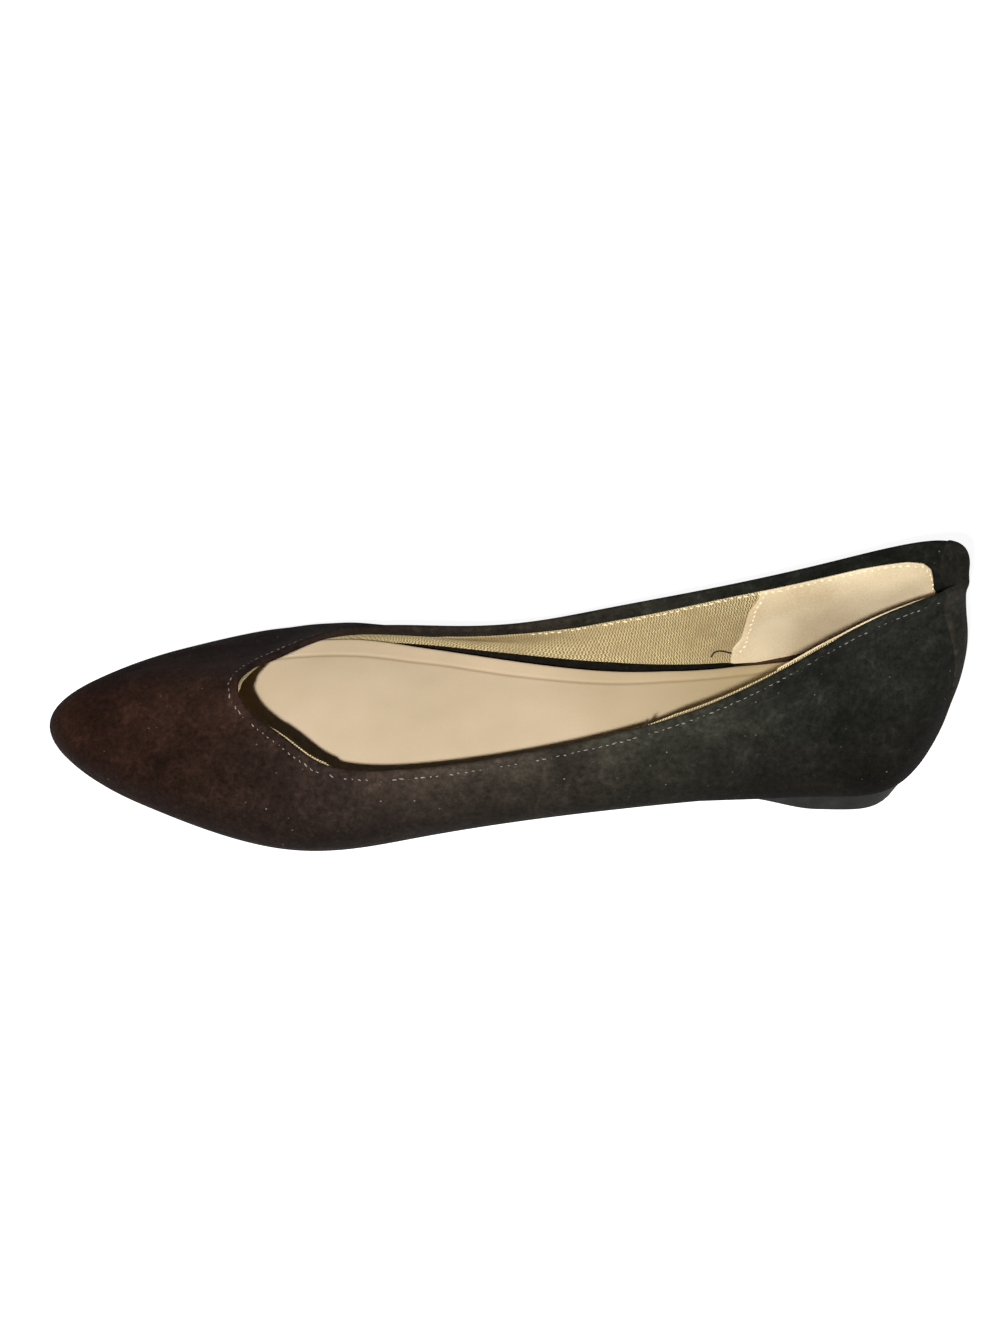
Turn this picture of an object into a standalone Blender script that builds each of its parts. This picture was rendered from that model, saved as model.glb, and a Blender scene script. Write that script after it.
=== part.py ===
# Pointed toe flat shoe, left foot: a low suede upper lasted over a board, a padded sock inside,
# a moulded sole with a low heel, and a suede strip over the back seam.
# Metres, +Z up. The toe points to -X, the outer side of the foot to -Y. The origin is on the
# floor, below the middle of the shoe's box.

import math

import bpy
import numpy as np
from mathutils import Vector

# Driving sizes of the last
LENGTH = 0.262            # what the tables' shares along refer to; the shoe takes up 98 % of it
BALL_WIDTH = 0.072        # feather edge to feather edge across the ball
HEEL_WIDTH = 0.051        # the same across the heel seat
SIDE_HEIGHT = 0.027       # lowest part of the topline, above the floor
THROAT_HEIGHT = 0.033     # topline at the throat, over the instep
BACK_HEIGHT = 0.061       # topline at the back
SIDE_SWELL = 0.003        # how far the side swells past the feather edge
HEEL_HEIGHT = 0.011       # sole under the heel
TOE_SPRING = 0.006        # lift of the toe tip

# Upper
WALL = 0.002              # suede, stiffener and lining together
FEATHER_RADIUS = 0.0025   # bend of the upper round the lower edge of the last
LASTING_MARGIN = 0.006    # flat part of the upper turned under the last
MARGIN_SHARE = 0.5        # the most that the margin may take of a sharp bend's radius
SIDE_STEPS = 12           # faces from the feather edge to the topline
BEND_STEPS = 4            # faces round the feather edge

# Sole
FOREPART = 0.0033         # sole under the ball
HEEL_LENGTH = 0.055       # back of the shoe to the heel's front edge
BREAST_RUN = 0.013        # length of the slope in front of the heel
SOLE_INSET = 0.0015       # top of the sole inside the feather edge
LIP_HEIGHT = 0.0012       # thin lip that runs round the top of the sole
LIP_STEP = 0.0006         # side of the sole steps in below the lip
LIP_DRAFT = 0.0002        # slope of that step
SIDE_TAPER = 0.0008       # side draws in from the lip to the floor
FLOOR_ROUND = 0.0009      # rounded edge at the floor
HEEL_PITCH = 0.0065       # back of the heel slopes in towards the floor
PITCH_RUN = 0.0275        # that slope fades out this far from the back
ROUND_SHARE = 0.3         # a rounded edge is two slopes that meet at this share of its radius

# Insole
BOARD_THICKNESS = 0.0015
BOARD_INSET = 0.0005      # extra room between the board and the upper's wall
SOCK_THICKNESS = 0.003
SOCK_INSET = 0.0016       # gap that shows between the sock and the wall
SOCK_ROUND = 0.0012       # rounded upper edge of the sock

# Back strip
STRIP_WIDTH = 0.021
STRIP_THICKNESS = 0.0009
STRIP_FOLD = 0.008        # part of the strip that is folded down inside the collar
STRIP_FLARE = 0.0006      # the folded top stands this much further out
STRIP_FLARE_HEIGHT = 0.014  # where it starts, below the topline
STRIP_FOOT = 0.003        # lower end of the strip, above the feather bend
STRIP_OVER = 0.0004       # gap between the fold and the top of the collar
STRIP_RIBS = 9            # columns of points across the strip
STRIP_FOLD_STEPS = 4

CLEARANCE = 0.0003        # between pieces that touch on the real shoe
SHARP_ANGLE = 40          # degrees: edges sharper than this are shaded as edges

# Ribs of the upper: lines from the feather edge up to the topline, in order from the back along
# the outer side to the toe tip and home along the inner side.
#   along   share of LENGTH from the back, at the feather edge (foot) and at the topline (top)
#   side    share of the last's width there, outer side negative
#   end     the height that the topline climbs to there
#   rise    share of the climb from SIDE_HEIGHT to that height
#   swell   share of SIDE_SWELL
#   lean    degrees: 90 is an upright wall at the topline, 20 nearly lies flat
#   pull    how far each end of the rib runs straight, share of its length
#   steps   faces from this rib to the next
RIB_COLUMNS = ("foot_along", "foot_side", "top_along", "top_side", "end", "rise",
               "swell", "lean", "foot_pull", "top_pull", "steps")
RIBS = (
    (0.021, 0.03, 0.034, 0.105, BACK_HEIGHT, 1.00, 1.50, 90, 0.36, 0.35, 6),
    (0.052, -0.350, 0.044, -0.040, BACK_HEIGHT, 0.99, 1.20, 104, 0.36, 0.35, 4),
    (0.110, -0.585, 0.120, -0.165, BACK_HEIGHT, 0.87, 1.00, 112, 0.35, 0.35, 4),
    (0.180, -0.59, 0.206, -0.335, BACK_HEIGHT, 0.70, 1.40, 102, 0.35, 0.35, 6),
    (0.400, -0.52, 0.370, -0.430, BACK_HEIGHT, 0.255, 1.00, 95, 0.35, 0.35, 5),
    (0.600, -0.49, 0.572, -0.425, BACK_HEIGHT, 0.04, 1.00, 80, 0.40, 0.35, 4),
    (0.740, -0.51, 0.681, -0.373, THROAT_HEIGHT, -0.05, 1.00, 55, 0.45, 0.35, 5),
    (0.880, -0.32, 0.733, -0.238, THROAT_HEIGHT, 0.37, 1.00, 34, 0.35, 0.40, 4),
    (0.965, -0.122, 0.777, -0.087, THROAT_HEIGHT, 0.70, 1.00, 25, 0.30, 0.45, 3),
    (0.990, 0.020, 0.788, -0.003, THROAT_HEIGHT, 0.96, 1.00, 20, 0.28, 0.50, 3),
    (0.965, 0.155, 0.772, 0.105, THROAT_HEIGHT, 0.60, 1.00, 25, 0.31, 0.45, 4),
    (0.880, 0.355, 0.744, 0.207, THROAT_HEIGHT, 0.05, 1.00, 34, 0.36, 0.40, 5),
    (0.740, 0.518, 0.670, 0.348, THROAT_HEIGHT, -0.15, 1.10, 64, 0.46, 0.35, 4),
    (0.620, 0.498, 0.546, 0.362, BACK_HEIGHT, -0.05, 1.00, 81, 0.40, 0.35, 6),
    (0.400, 0.293, 0.385, 0.350, BACK_HEIGHT, 0.225, 1.30, 96, 0.35, 0.35, 6),
    (0.180, 0.42, 0.160, 0.360, BACK_HEIGHT, 0.745, 1.30, 103, 0.35, 0.35, 7),
    (0.052, 0.34, 0.034, 0.275, BACK_HEIGHT, 1.01, 1.30, 104, 0.35, 0.35, 6),
)

# Last's bottom seen from the side: share of LENGTH from the back, share of the heel's lift,
# share of the toe spring
SEAT = (
    (0.00, 1.04, 0.00),
    (0.10, 1.00, 0.00),
    (0.22, 0.87, 0.00),
    (0.42, 0.69, 0.00),
    (0.56, 0.21, 0.00),
    (0.66, 0.00, 0.00),
    (0.76, 0.00, 0.06),
    (0.88, 0.00, 0.42),
    (1.00, 0.00, 1.00),
)

# The last narrows from the ball to the heel between these shares of LENGTH
HEEL_WIDTH_AT = 0.20
BALL_WIDTH_AT = 0.60

# Stations along the sole: rounded ends, then even steps between these shares of LENGTH
END_STATIONS = 6
MIDDLE_STATIONS = 28
MIDDLE_FROM = 0.09
MIDDLE_TO = 0.93
BREAST_STATIONS = 4        # on the slope in front of the heel
DENSE = 1440               # points in which the feather edge is searched for a station


def natural_spline(knots, values, at):
    """Cubic through rows of values with free ends, read at the given places."""
    knots = np.asarray(knots, float)
    values = np.asarray(values, float)
    at = np.asarray(at, float)
    count = len(knots)
    step = np.diff(knots)
    system = np.eye(count)
    bend = np.zeros_like(values)
    for i in range(1, count - 1):
        system[i, i - 1:i + 2] = step[i - 1], 2 * (step[i - 1] + step[i]), step[i]
        ahead = (values[i + 1] - values[i]) / step[i]
        behind = (values[i] - values[i - 1]) / step[i - 1]
        bend[i] = 6 * (ahead - behind)
    bend = np.linalg.solve(system, bend)
    k = np.clip(np.searchsorted(knots, at, side="right") - 1, 0, count - 2)
    width = step[k][:, None]
    b = (at - knots[k])[:, None] / width
    a = 1 - b
    curve = ((a ** 3 - a) * bend[k] + (b ** 3 - b) * bend[k + 1]) * width ** 2 / 6
    return a * values[k] + b * values[k + 1] + curve


def closed_spline(knots, length, values, at):
    """The same through rows that close on themselves after the given length."""
    knots = np.asarray(knots, float)
    three_turns = np.concatenate([knots - length, knots, knots + length])
    return natural_spline(three_turns, np.tile(values, (3, 1)), np.mod(at, length))


def share_along(x):
    """Place along the shoe as a share of its length from the back."""
    return 0.5 - x / LENGTH


def last_width(along):
    """Width that the side shares of the rib table refer to."""
    to_ball = np.clip((along - HEEL_WIDTH_AT) / (BALL_WIDTH_AT - HEEL_WIDTH_AT), 0, 1)
    return HEEL_WIDTH + (BALL_WIDTH - HEEL_WIDTH) * to_ball


def seat_height(x):
    """Height of the last's bottom, where the turned-under margin lies."""
    table = np.array(SEAT)
    heel_lift = HEEL_HEIGHT - FOREPART
    heights = FOREPART + CLEARANCE + table[:, 1] * heel_lift + table[:, 2] * TOE_SPRING
    along = np.clip(share_along(np.asarray(x, float)), 0, 1)
    return natural_spline(table[:, 0], heights[:, None], along.ravel())[:, 0].reshape(along.shape)


def rib_rows():
    """The rib table in metres: foot x, y, top x, y, z, swell, lean and the two pulls."""
    rib = dict(zip(RIB_COLUMNS, np.array(RIBS, float).T))
    climb = rib["end"] - SIDE_HEIGHT
    return np.column_stack([
        (0.5 - rib["foot_along"]) * LENGTH,
        rib["foot_side"] * last_width(rib["foot_along"]),
        (0.5 - rib["top_along"]) * LENGTH,
        rib["top_side"] * last_width(rib["top_along"]),
        SIDE_HEIGHT + rib["rise"] * climb,
        rib["swell"] * SIDE_SWELL,
        np.radians(rib["lean"]),
        rib["foot_pull"],
        rib["top_pull"],
    ])


ROWS = rib_rows()
FOOT_SHARE = 0.6          # spacing of the ribs follows the foot more than the topline
SPACING = (FOOT_SHARE * np.linalg.norm(np.roll(ROWS[:, 0:2], -1, 0) - ROWS[:, 0:2], axis=1)
           + (1 - FOOT_SHARE) * np.linalg.norm(np.roll(ROWS[:, 2:5], -1, 0) - ROWS[:, 2:5], axis=1))
GIRTH = SPACING.sum()
KNOTS = np.concatenate([[0.0], np.cumsum(SPACING)[:-1]])
SMALL_STEP = 1e-4          # metres round the shoe, for directions worked out from two points
SMALL_SHARE = 0.01         # the same up the wall, as a share of it


def unit(vectors):
    return vectors / np.linalg.norm(vectors, axis=-1, keepdims=True)


def level_out(tangents):
    """Outward level direction for a path that runs clockwise seen from above."""
    flat = np.column_stack([-tangents[:, 1], tangents[:, 0], np.zeros(len(tangents))])
    return unit(flat)


def ribs(at):
    """Everything about the ribs at the given places round the shoe."""
    at = np.asarray(at, float)
    rows = closed_spline(KNOTS, GIRTH, ROWS, at)
    change = (closed_spline(KNOTS, GIRTH, ROWS, at + SMALL_STEP)
              - closed_spline(KNOTS, GIRTH, ROWS, at - SMALL_STEP))
    rib = {"foot": np.column_stack([rows[:, 0:2], seat_height(rows[:, 0])]),
           "top": rows[:, 2:5],
           "swell": rows[:, 5],
           "out": level_out(change[:, 0:2]),
           "top_out": level_out(change[:, 2:4])}
    lean = rows[:, 6][:, None]
    up = np.array([0.0, 0.0, 1.0])
    rib["top_up"] = -rib["top_out"] * np.cos(lean) + up * np.sin(lean)
    across = np.cross(rib["top_up"], unit(change[:, 2:5]))
    rib["rim_out"] = unit(across) * np.sign((across * rib["top_out"]).sum(1))[:, None]
    length = np.linalg.norm(rib["top"] - rib["foot"], axis=1)
    rib["length"] = length
    rib["foot_handle"] = rows[:, 7] * length
    rib["top_handle"] = rows[:, 8] * length
    return rib


def side_curve(rib, share):
    """Points of the wall's outer face: share 0 at the feather bend, 1 at the topline."""
    up = np.array([0.0, 0.0, 1.0])
    slope = np.arctan2(rib["swell"], rib["foot_handle"])[:, None]
    low = rib["foot"] + up * FEATHER_RADIUS * (1 - np.sin(slope))
    low_handle = low + up * rib["foot_handle"][:, None] + rib["out"] * rib["swell"][:, None]
    top_handle = rib["top"] - rib["top_up"] * rib["top_handle"][:, None]
    w = share
    return ((1 - w) ** 3 * low + 3 * w * (1 - w) ** 2 * low_handle
            + 3 * w ** 2 * (1 - w) * top_handle + w ** 3 * rib["top"])


def feather_bend(rib, turn):
    """Points of the bend under the foot: turn 0 meets the wall, 1 points straight down."""
    up = np.array([0.0, 0.0, 1.0])
    slope = np.arctan2(rib["swell"], rib["foot_handle"])[:, None]
    low = rib["foot"] + up * FEATHER_RADIUS * (1 - np.sin(slope))
    middle = low - FEATHER_RADIUS * (rib["out"] * np.cos(slope) - up * np.sin(slope))
    angle = slope + (math.pi / 2 - slope) * turn
    return middle + FEATHER_RADIUS * (rib["out"] * np.cos(angle) - up * np.sin(angle))


def margin_width(rib):
    """The turned-under margin is trimmed where the feather edge bends too sharply for it."""
    run = np.roll(rib["foot"], -1, 0) - np.roll(rib["foot"], 1, 0)
    turn = np.roll(rib["out"], -1, 0) - np.roll(rib["out"], 1, 0)
    radius = np.linalg.norm(run, axis=1) / np.linalg.norm(turn, axis=1)
    return np.minimum(LASTING_MARGIN, MARGIN_SHARE * (radius - FEATHER_RADIUS))


def margin_point(rib, inward):
    """Points of the margin that is turned under the last, on the last's bottom."""
    point = feather_bend(rib, 1.0) - rib["out"] * inward[:, None]
    point[:, 2] = seat_height(point[:, 0])
    return point


def upper_grid(at):
    """Outer face of the upper, one column of points a rib, from the margin to the topline."""
    rib = ribs(at)
    margin = margin_width(rib)
    rows = [margin_point(rib, margin), margin_point(rib, margin / 2)]
    rows += [feather_bend(rib, 1 - i / BEND_STEPS) for i in range(BEND_STEPS)]
    rows += [side_curve(rib, i / SIDE_STEPS) for i in range(SIDE_STEPS + 1)]
    return np.stack(rows, axis=1)


def grid_faces(columns, rows, closed):
    """Faces of a grid whose columns run clockwise, seen from above, facing outward."""
    faces = []
    for i in range(columns if closed else columns - 1):
        j = (i + 1) % columns
        for k in range(rows - 1):
            faces.append((i * rows + k, i * rows + k + 1, j * rows + k + 1, j * rows + k))
    return faces


def wall_normal(at, share):
    """Outward direction of the wall's outer face, square to it both ways."""
    round_way = side_curve(ribs(at + SMALL_STEP), share) - side_curve(ribs(at - SMALL_STEP), share)
    rib = ribs(at)
    higher = side_curve(rib, min(share + SMALL_SHARE, 1.0))
    lower = side_curve(rib, max(share - SMALL_SHARE, 0.0))
    return unit(np.cross(higher - lower, round_way))


def make_material(name, colour, roughness):
    """A plain surface in linear colour, none of it metal."""
    material = bpy.data.materials.new(name)
    material.use_nodes = True
    shader = material.node_tree.nodes["Principled BSDF"]
    shader.inputs["Base Color"].default_value = (*colour, 1.0)
    shader.inputs["Roughness"].default_value = roughness
    shader.inputs["Metallic"].default_value = 0.0
    return material


def add_object(name, points, faces, material):
    """A smooth-shaded object in the shoe's collection, under the shoe's empty."""
    mesh = bpy.data.meshes.new(name)
    mesh.from_pydata([tuple(point) for point in points], [], faces)
    mesh.materials.append(material)
    mesh.shade_smooth()
    mesh.set_sharp_from_angle(angle=math.radians(SHARP_ANGLE))
    thing = bpy.data.objects.new(name, mesh)
    shoe_collection.objects.link(thing)
    thing.parent = shoe
    return thing


def thicken(thing, thickness, offset):
    """Give an open sheet its wall: offset -1 puts it behind the faces, 1 in front of them."""
    wall = thing.modifiers.new("wall", "SOLIDIFY")
    wall.thickness = thickness
    wall.offset = offset
    wall.use_even_offset = True
    wall.use_quality_normals = True


def build_upper(suede):
    """The lasted upper: one open sheet with its wall inside, open on top and underneath."""
    starts = np.append(KNOTS, GIRTH)
    at = []
    for i, row in enumerate(RIBS):
        at += list(np.linspace(starts[i], starts[i + 1], row[-1], endpoint=False))
    grid = upper_grid(at)
    columns, rows = grid.shape[:2]
    upper = add_object("upper", grid.reshape(-1, 3), grid_faces(columns, rows, True), suede)
    thicken(upper, WALL, -1)


def build_back_strip(suede):
    """The strip over the back seam: up the outside, over the collar and a little way down."""
    across = np.linspace(-STRIP_WIDTH / 2, STRIP_WIDTH / 2, STRIP_RIBS)
    height = ribs([0.0])["length"][0]

    def column_places(share):
        here, there = (side_curve(ribs([at]), share) for at in (-SMALL_STEP, SMALL_STEP))
        return across * 2 * SMALL_STEP / np.linalg.norm(there - here)

    rows = []
    for share in np.linspace(STRIP_FOOT / height, 1.0, SIDE_STEPS + 1):
        at = column_places(share)
        flare = np.clip(2 - 2 * (1 - share) * height / STRIP_FLARE_HEIGHT, 0, 1)
        out = wall_normal(at, share) * (CLEARANCE + STRIP_FLARE * flare)
        rows.append(side_curve(ribs(at), share) + out)
    at = column_places(1.0)
    rib = ribs(at)
    for out in ((CLEARANCE + STRIP_FLARE) / 2, -WALL):
        rows.append(rib["top"] + rib["rim_out"] * out + rib["top_up"] * STRIP_OVER)
    for drop in np.linspace(0.0, STRIP_FOLD, STRIP_FOLD_STEPS + 1):
        share = 1 - drop / height
        at = column_places(share)
        rows.append(side_curve(ribs(at), share) - wall_normal(at, share) * (WALL + CLEARANCE))
    grid = np.stack(rows, axis=1)
    faces = grid_faces(*grid.shape[:2], False)
    strip = add_object("back_strip", grid.reshape(-1, 3), faces, suede)
    thicken(strip, STRIP_THICKNESS, 1)


def stations():
    """Places round the feather edge, in pairs that share their distance from the back."""
    dense = np.linspace(0, GIRTH, DENSE, endpoint=False)
    x = closed_spline(KNOTS, GIRTH, ROWS, dense)[:, 0]
    back = dense[x.argmax()]
    x = np.append(np.roll(x, -x.argmax()), x.max())
    gone = np.linspace(0, GIRTH, DENSE + 1)
    tip = x.argmin()
    heel_side = (0.5 - MIDDLE_FROM) * LENGTH
    toe_side = (0.5 - MIDDLE_TO) * LENGTH
    heel_front = 0.5 * LENGTH - HEEL_LENGTH
    rounding = 1 - np.cos(np.linspace(0, math.pi / 2, END_STATIONS, endpoint=False)[1:])
    places = np.concatenate([
        x[0] + (heel_side - x[0]) * rounding,
        np.linspace(heel_side, toe_side, MIDDLE_STATIONS),
        heel_front - BREAST_RUN * np.linspace(0, 1, BREAST_STATIONS),
        x[tip] + (toe_side - x[tip]) * rounding,
    ])
    places = -np.sort(-places)
    outer = np.interp(-places, -x[:tip + 1], gone[:tip + 1])
    inner = np.interp(places, x[tip:], gone[tip:])[::-1]
    return back + np.concatenate([[0.0], outer, [gone[tip]], inner])


def ladder_faces(count, start, up):
    """Faces across a ring of paired points, whose first and middle points are its ends."""
    half = count // 2
    faces = []
    for i in range(half):
        loop = [i, i + 1]
        if i + 1 < half:
            loop.append(count - i - 1)
        if i > 0:
            loop.append(count - i)
        loop = [start + k for k in loop]
        faces.append(tuple(reversed(loop)) if up else tuple(loop))
    return faces


def stack_rings(rings):
    """Closed solid from rings laid top to bottom, each a loop of paired points."""
    count = len(rings[0])
    faces = []
    for level in range(len(rings) - 1):
        high, low = level * count, (level + 1) * count
        for i in range(count):
            j = (i + 1) % count
            faces.append((high + i, high + j, low + j, low + i))
    faces += ladder_faces(count, 0, True)
    faces += ladder_faces(count, (len(rings) - 1) * count, False)
    return np.concatenate(rings), faces


def ring(rib, inset, height):
    """The feather edge drawn in by an inset, at the height that its x gives."""
    points = rib["foot"] - rib["out"] * np.reshape(inset, (-1, 1))
    points[:, 2] = height(points[:, 0])
    return points


def underside(x):
    """Height of the sole's lower face: flat heel, breast, arch, flat ball and toe spring."""
    breast = np.clip((0.5 * LENGTH - HEEL_LENGTH - x) / BREAST_RUN, 0, 1)
    breast = breast * breast * (3 - 2 * breast)
    return breast * np.clip(seat_height(x) - CLEARANCE - FOREPART, 0, None)


def build_outsole(rib, rubber):
    """The moulded sole: a thin lip, a side that steps in below it and a rounded floor edge."""
    from_back = rib["foot"][:, 0].max() - rib["foot"][:, 0]
    pitch = HEEL_PITCH * np.clip(1 - from_back / PITCH_RUN, 0, 1) ** 2
    lip = SOLE_INSET
    wall = lip + LIP_STEP
    foot = wall + SIDE_TAPER + pitch

    def top(x):
        return seat_height(x) - CLEARANCE

    rings = [
        ring(rib, lip, top),
        ring(rib, lip, lambda x: top(x) - LIP_HEIGHT),
        ring(rib, wall, lambda x: top(x) - LIP_HEIGHT - LIP_DRAFT),
        ring(rib, foot, lambda x: underside(x) + FLOOR_ROUND),
        ring(rib, foot + FLOOR_ROUND * ROUND_SHARE,
             lambda x: underside(x) + FLOOR_ROUND * ROUND_SHARE),
        ring(rib, foot + FLOOR_ROUND, underside),
    ]
    add_object("outsole", *stack_rings(rings), rubber)


def build_insole_board(rib, board):
    """The lasting board, just above the turned-under margin."""
    inset = WALL + CLEARANCE + BOARD_INSET
    bottom = WALL + CLEARANCE
    rings = [
        ring(rib, inset, lambda x: seat_height(x) + bottom + BOARD_THICKNESS),
        ring(rib, inset, lambda x: seat_height(x) + bottom),
    ]
    add_object("insole_board", *stack_rings(rings), board)


def build_insole_sock(rib, microfibre):
    """The padded sock, drawn in from the wall, with a soft upper edge."""
    inset = WALL + CLEARANCE + SOCK_INSET
    bottom = WALL + BOARD_THICKNESS + 2 * CLEARANCE
    top = bottom + SOCK_THICKNESS
    bend = SOCK_ROUND * ROUND_SHARE
    rings = [
        ring(rib, inset + SOCK_ROUND, lambda x: seat_height(x) + top),
        ring(rib, inset + bend, lambda x: seat_height(x) + top - bend),
        ring(rib, inset, lambda x: seat_height(x) + top - SOCK_ROUND),
        ring(rib, inset, lambda x: seat_height(x) + bottom),
    ]
    add_object("insole_sock", *stack_rings(rings), microfibre)


def centre_over_origin():
    """Move the shoe's empty so that the middle of the shoe's box is above the origin."""
    bpy.context.view_layer.update()
    viewed = bpy.context.evaluated_depsgraph_get()
    corners = []
    for thing in shoe.children:
        box = thing.evaluated_get(viewed)
        corners += [tuple(box.matrix_world @ Vector(corner)) for corner in box.bound_box]
    middle = (np.min(corners, axis=0) + np.max(corners, axis=0)) / 2
    shoe.location = (-middle[0], -middle[1], 0.0)


for leftover in list(bpy.data.objects):
    bpy.data.objects.remove(leftover, do_unlink=True)

shoe_collection = bpy.data.collections.new("pointed_toe_flat_shoe")
bpy.context.scene.collection.children.link(shoe_collection)
shoe = bpy.data.objects.new("shoe", None)
shoe_collection.objects.link(shoe)

black_suede = make_material("black_suede", (0.030, 0.024, 0.021), 0.95)
feather_edge = ribs(stations())
build_upper(black_suede)
build_back_strip(black_suede)
build_outsole(feather_edge, make_material("black_moulded_rubber", (0.028, 0.028, 0.024), 0.6))
build_insole_board(feather_edge, make_material("brown_fibre_board", (0.055, 0.033, 0.018), 0.9))
build_insole_sock(feather_edge, make_material("beige_microfibre", (0.672, 0.521, 0.347), 0.8))
centre_over_origin()
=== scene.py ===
import math

import bpy
import numpy as np
from mathutils import Matrix, Vector


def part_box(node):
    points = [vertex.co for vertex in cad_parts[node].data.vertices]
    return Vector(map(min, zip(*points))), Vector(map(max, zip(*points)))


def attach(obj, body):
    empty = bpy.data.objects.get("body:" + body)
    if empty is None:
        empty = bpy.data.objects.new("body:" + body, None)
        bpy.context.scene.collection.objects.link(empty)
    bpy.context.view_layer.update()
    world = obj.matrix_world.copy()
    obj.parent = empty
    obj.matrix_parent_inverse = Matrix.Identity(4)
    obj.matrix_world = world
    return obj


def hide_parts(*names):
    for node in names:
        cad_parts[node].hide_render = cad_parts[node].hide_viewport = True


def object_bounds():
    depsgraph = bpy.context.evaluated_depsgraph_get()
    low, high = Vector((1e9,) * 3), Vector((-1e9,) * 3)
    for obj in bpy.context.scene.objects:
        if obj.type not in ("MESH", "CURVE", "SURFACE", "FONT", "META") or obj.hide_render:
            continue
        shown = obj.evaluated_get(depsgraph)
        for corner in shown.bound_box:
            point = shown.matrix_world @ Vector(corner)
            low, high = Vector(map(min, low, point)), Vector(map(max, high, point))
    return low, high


# Pointed toe flat shoe, left foot, in metres. The toe points to -X, the outer side of the foot to
# -Y and the floor is z = 0. Each section below is one piece of the shoe, in the order in which a
# maker puts them together.

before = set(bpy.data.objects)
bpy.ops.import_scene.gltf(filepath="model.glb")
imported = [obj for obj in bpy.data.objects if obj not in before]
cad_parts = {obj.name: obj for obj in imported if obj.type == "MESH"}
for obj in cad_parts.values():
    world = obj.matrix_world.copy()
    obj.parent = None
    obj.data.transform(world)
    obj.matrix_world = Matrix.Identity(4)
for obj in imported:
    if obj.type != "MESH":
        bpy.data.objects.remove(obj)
cad_low, cad_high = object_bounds()
MM = 0.001


# The lining
# A woven gold-beige cloth that covers the inside of the toe and both sides, sewn to the suede near
# the topline before lasting. It is drawn over the same last as the rest of the upper, so the last's
# shape comes first: ribs run from its lower edge, the feather edge, up to the topline.

LAST_LENGTH = 262 * MM
BALL_WIDTH = 72 * MM
SEAT_WIDTH = 51 * MM
SEAT_WIDTH_AT = 0.20       # shares of the length between which the last widens to the ball
BALL_WIDTH_AT = 0.60
SIDE_HEIGHT = 27 * MM      # lowest part of the topline
THROAT_HEIGHT = 33 * MM
BACK_HEIGHT = 61 * MM
SIDE_SWELL = 3 * MM
FEATHER_RADIUS = 2.5 * MM
SOLE_THICKNESS = 3.3 * MM  # under the ball
HEEL_HEIGHT = 11 * MM
TOE_SPRING = 6 * MM
HEEL_SKIRT = 4 * MM        # at the heel the suede covers the sole's upper edge this far down
HEEL_SKIRT_FROM = (35 * MM, 75 * MM)
HEEL_TUCK = 1.4 * MM       # and is drawn in this much there
WALL = 2 * MM              # suede, stiffener and lining together
GAP = 0.3 * MM             # between glued pieces

# foot along and side, topline along and side, height it climbs to, share of that climb, swell,
# lean in degrees, pull of the lower and upper end; shares of the last's length and width
RIBS = (
    (0.021, 0.030, 0.034, 0.105, BACK_HEIGHT, 1.00, 1.50, 90, 0.36, 0.35),
    (0.052, -0.350, 0.044, -0.040, BACK_HEIGHT, 0.99, 1.20, 104, 0.36, 0.35),
    (0.110, -0.585, 0.120, -0.165, BACK_HEIGHT, 0.87, 1.00, 112, 0.35, 0.35),
    (0.180, -0.590, 0.206, -0.335, BACK_HEIGHT, 0.70, 1.40, 102, 0.35, 0.35),
    (0.400, -0.520, 0.370, -0.430, BACK_HEIGHT, 0.255, 1.00, 95, 0.35, 0.35),
    (0.600, -0.490, 0.572, -0.425, BACK_HEIGHT, 0.04, 1.00, 80, 0.40, 0.35),
    (0.740, -0.510, 0.681, -0.373, THROAT_HEIGHT, -0.05, 1.00, 55, 0.45, 0.35),
    (0.880, -0.320, 0.733, -0.238, THROAT_HEIGHT, 0.37, 1.00, 34, 0.35, 0.40),
    (0.965, -0.122, 0.7745, -0.087, THROAT_HEIGHT, 0.70, 1.00, 25, 0.30, 0.45),
    (0.990, 0.020, 0.7805, -0.003, THROAT_HEIGHT, 0.96, 1.00, 20, 0.28, 0.50),
    (0.965, 0.155, 0.769, 0.100, THROAT_HEIGHT, 0.60, 1.00, 25, 0.31, 0.45),
    (0.880, 0.355, 0.744, 0.207, THROAT_HEIGHT, 0.05, 1.00, 34, 0.36, 0.40),
    (0.740, 0.518, 0.670, 0.348, THROAT_HEIGHT, -0.15, 1.10, 64, 0.46, 0.35),
    (0.620, 0.498, 0.546, 0.362, BACK_HEIGHT, -0.05, 1.00, 81, 0.40, 0.35),
    (0.400, 0.293, 0.385, 0.350, BACK_HEIGHT, 0.225, 1.30, 96, 0.35, 0.35),
    (0.180, 0.420, 0.160, 0.360, BACK_HEIGHT, 0.745, 1.30, 103, 0.35, 0.35),
    (0.052, 0.340, 0.034, 0.275, BACK_HEIGHT, 1.01, 1.30, 104, 0.35, 0.35),
)

# The last's bottom from the side: share along from the back, of the heel's lift, of the toe spring
SEAT = (
    (0.00, 1.04, 0.00), (0.10, 1.00, 0.00), (0.22, 0.87, 0.00), (0.42, 0.69, 0.00),
    (0.56, 0.21, 0.00), (0.66, 0.00, 0.00), (0.76, 0.00, 0.06), (0.88, 0.00, 0.42),
    (1.00, 0.00, 1.00),
)
UP = np.array([0.0, 0.0, 1.0])


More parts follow.
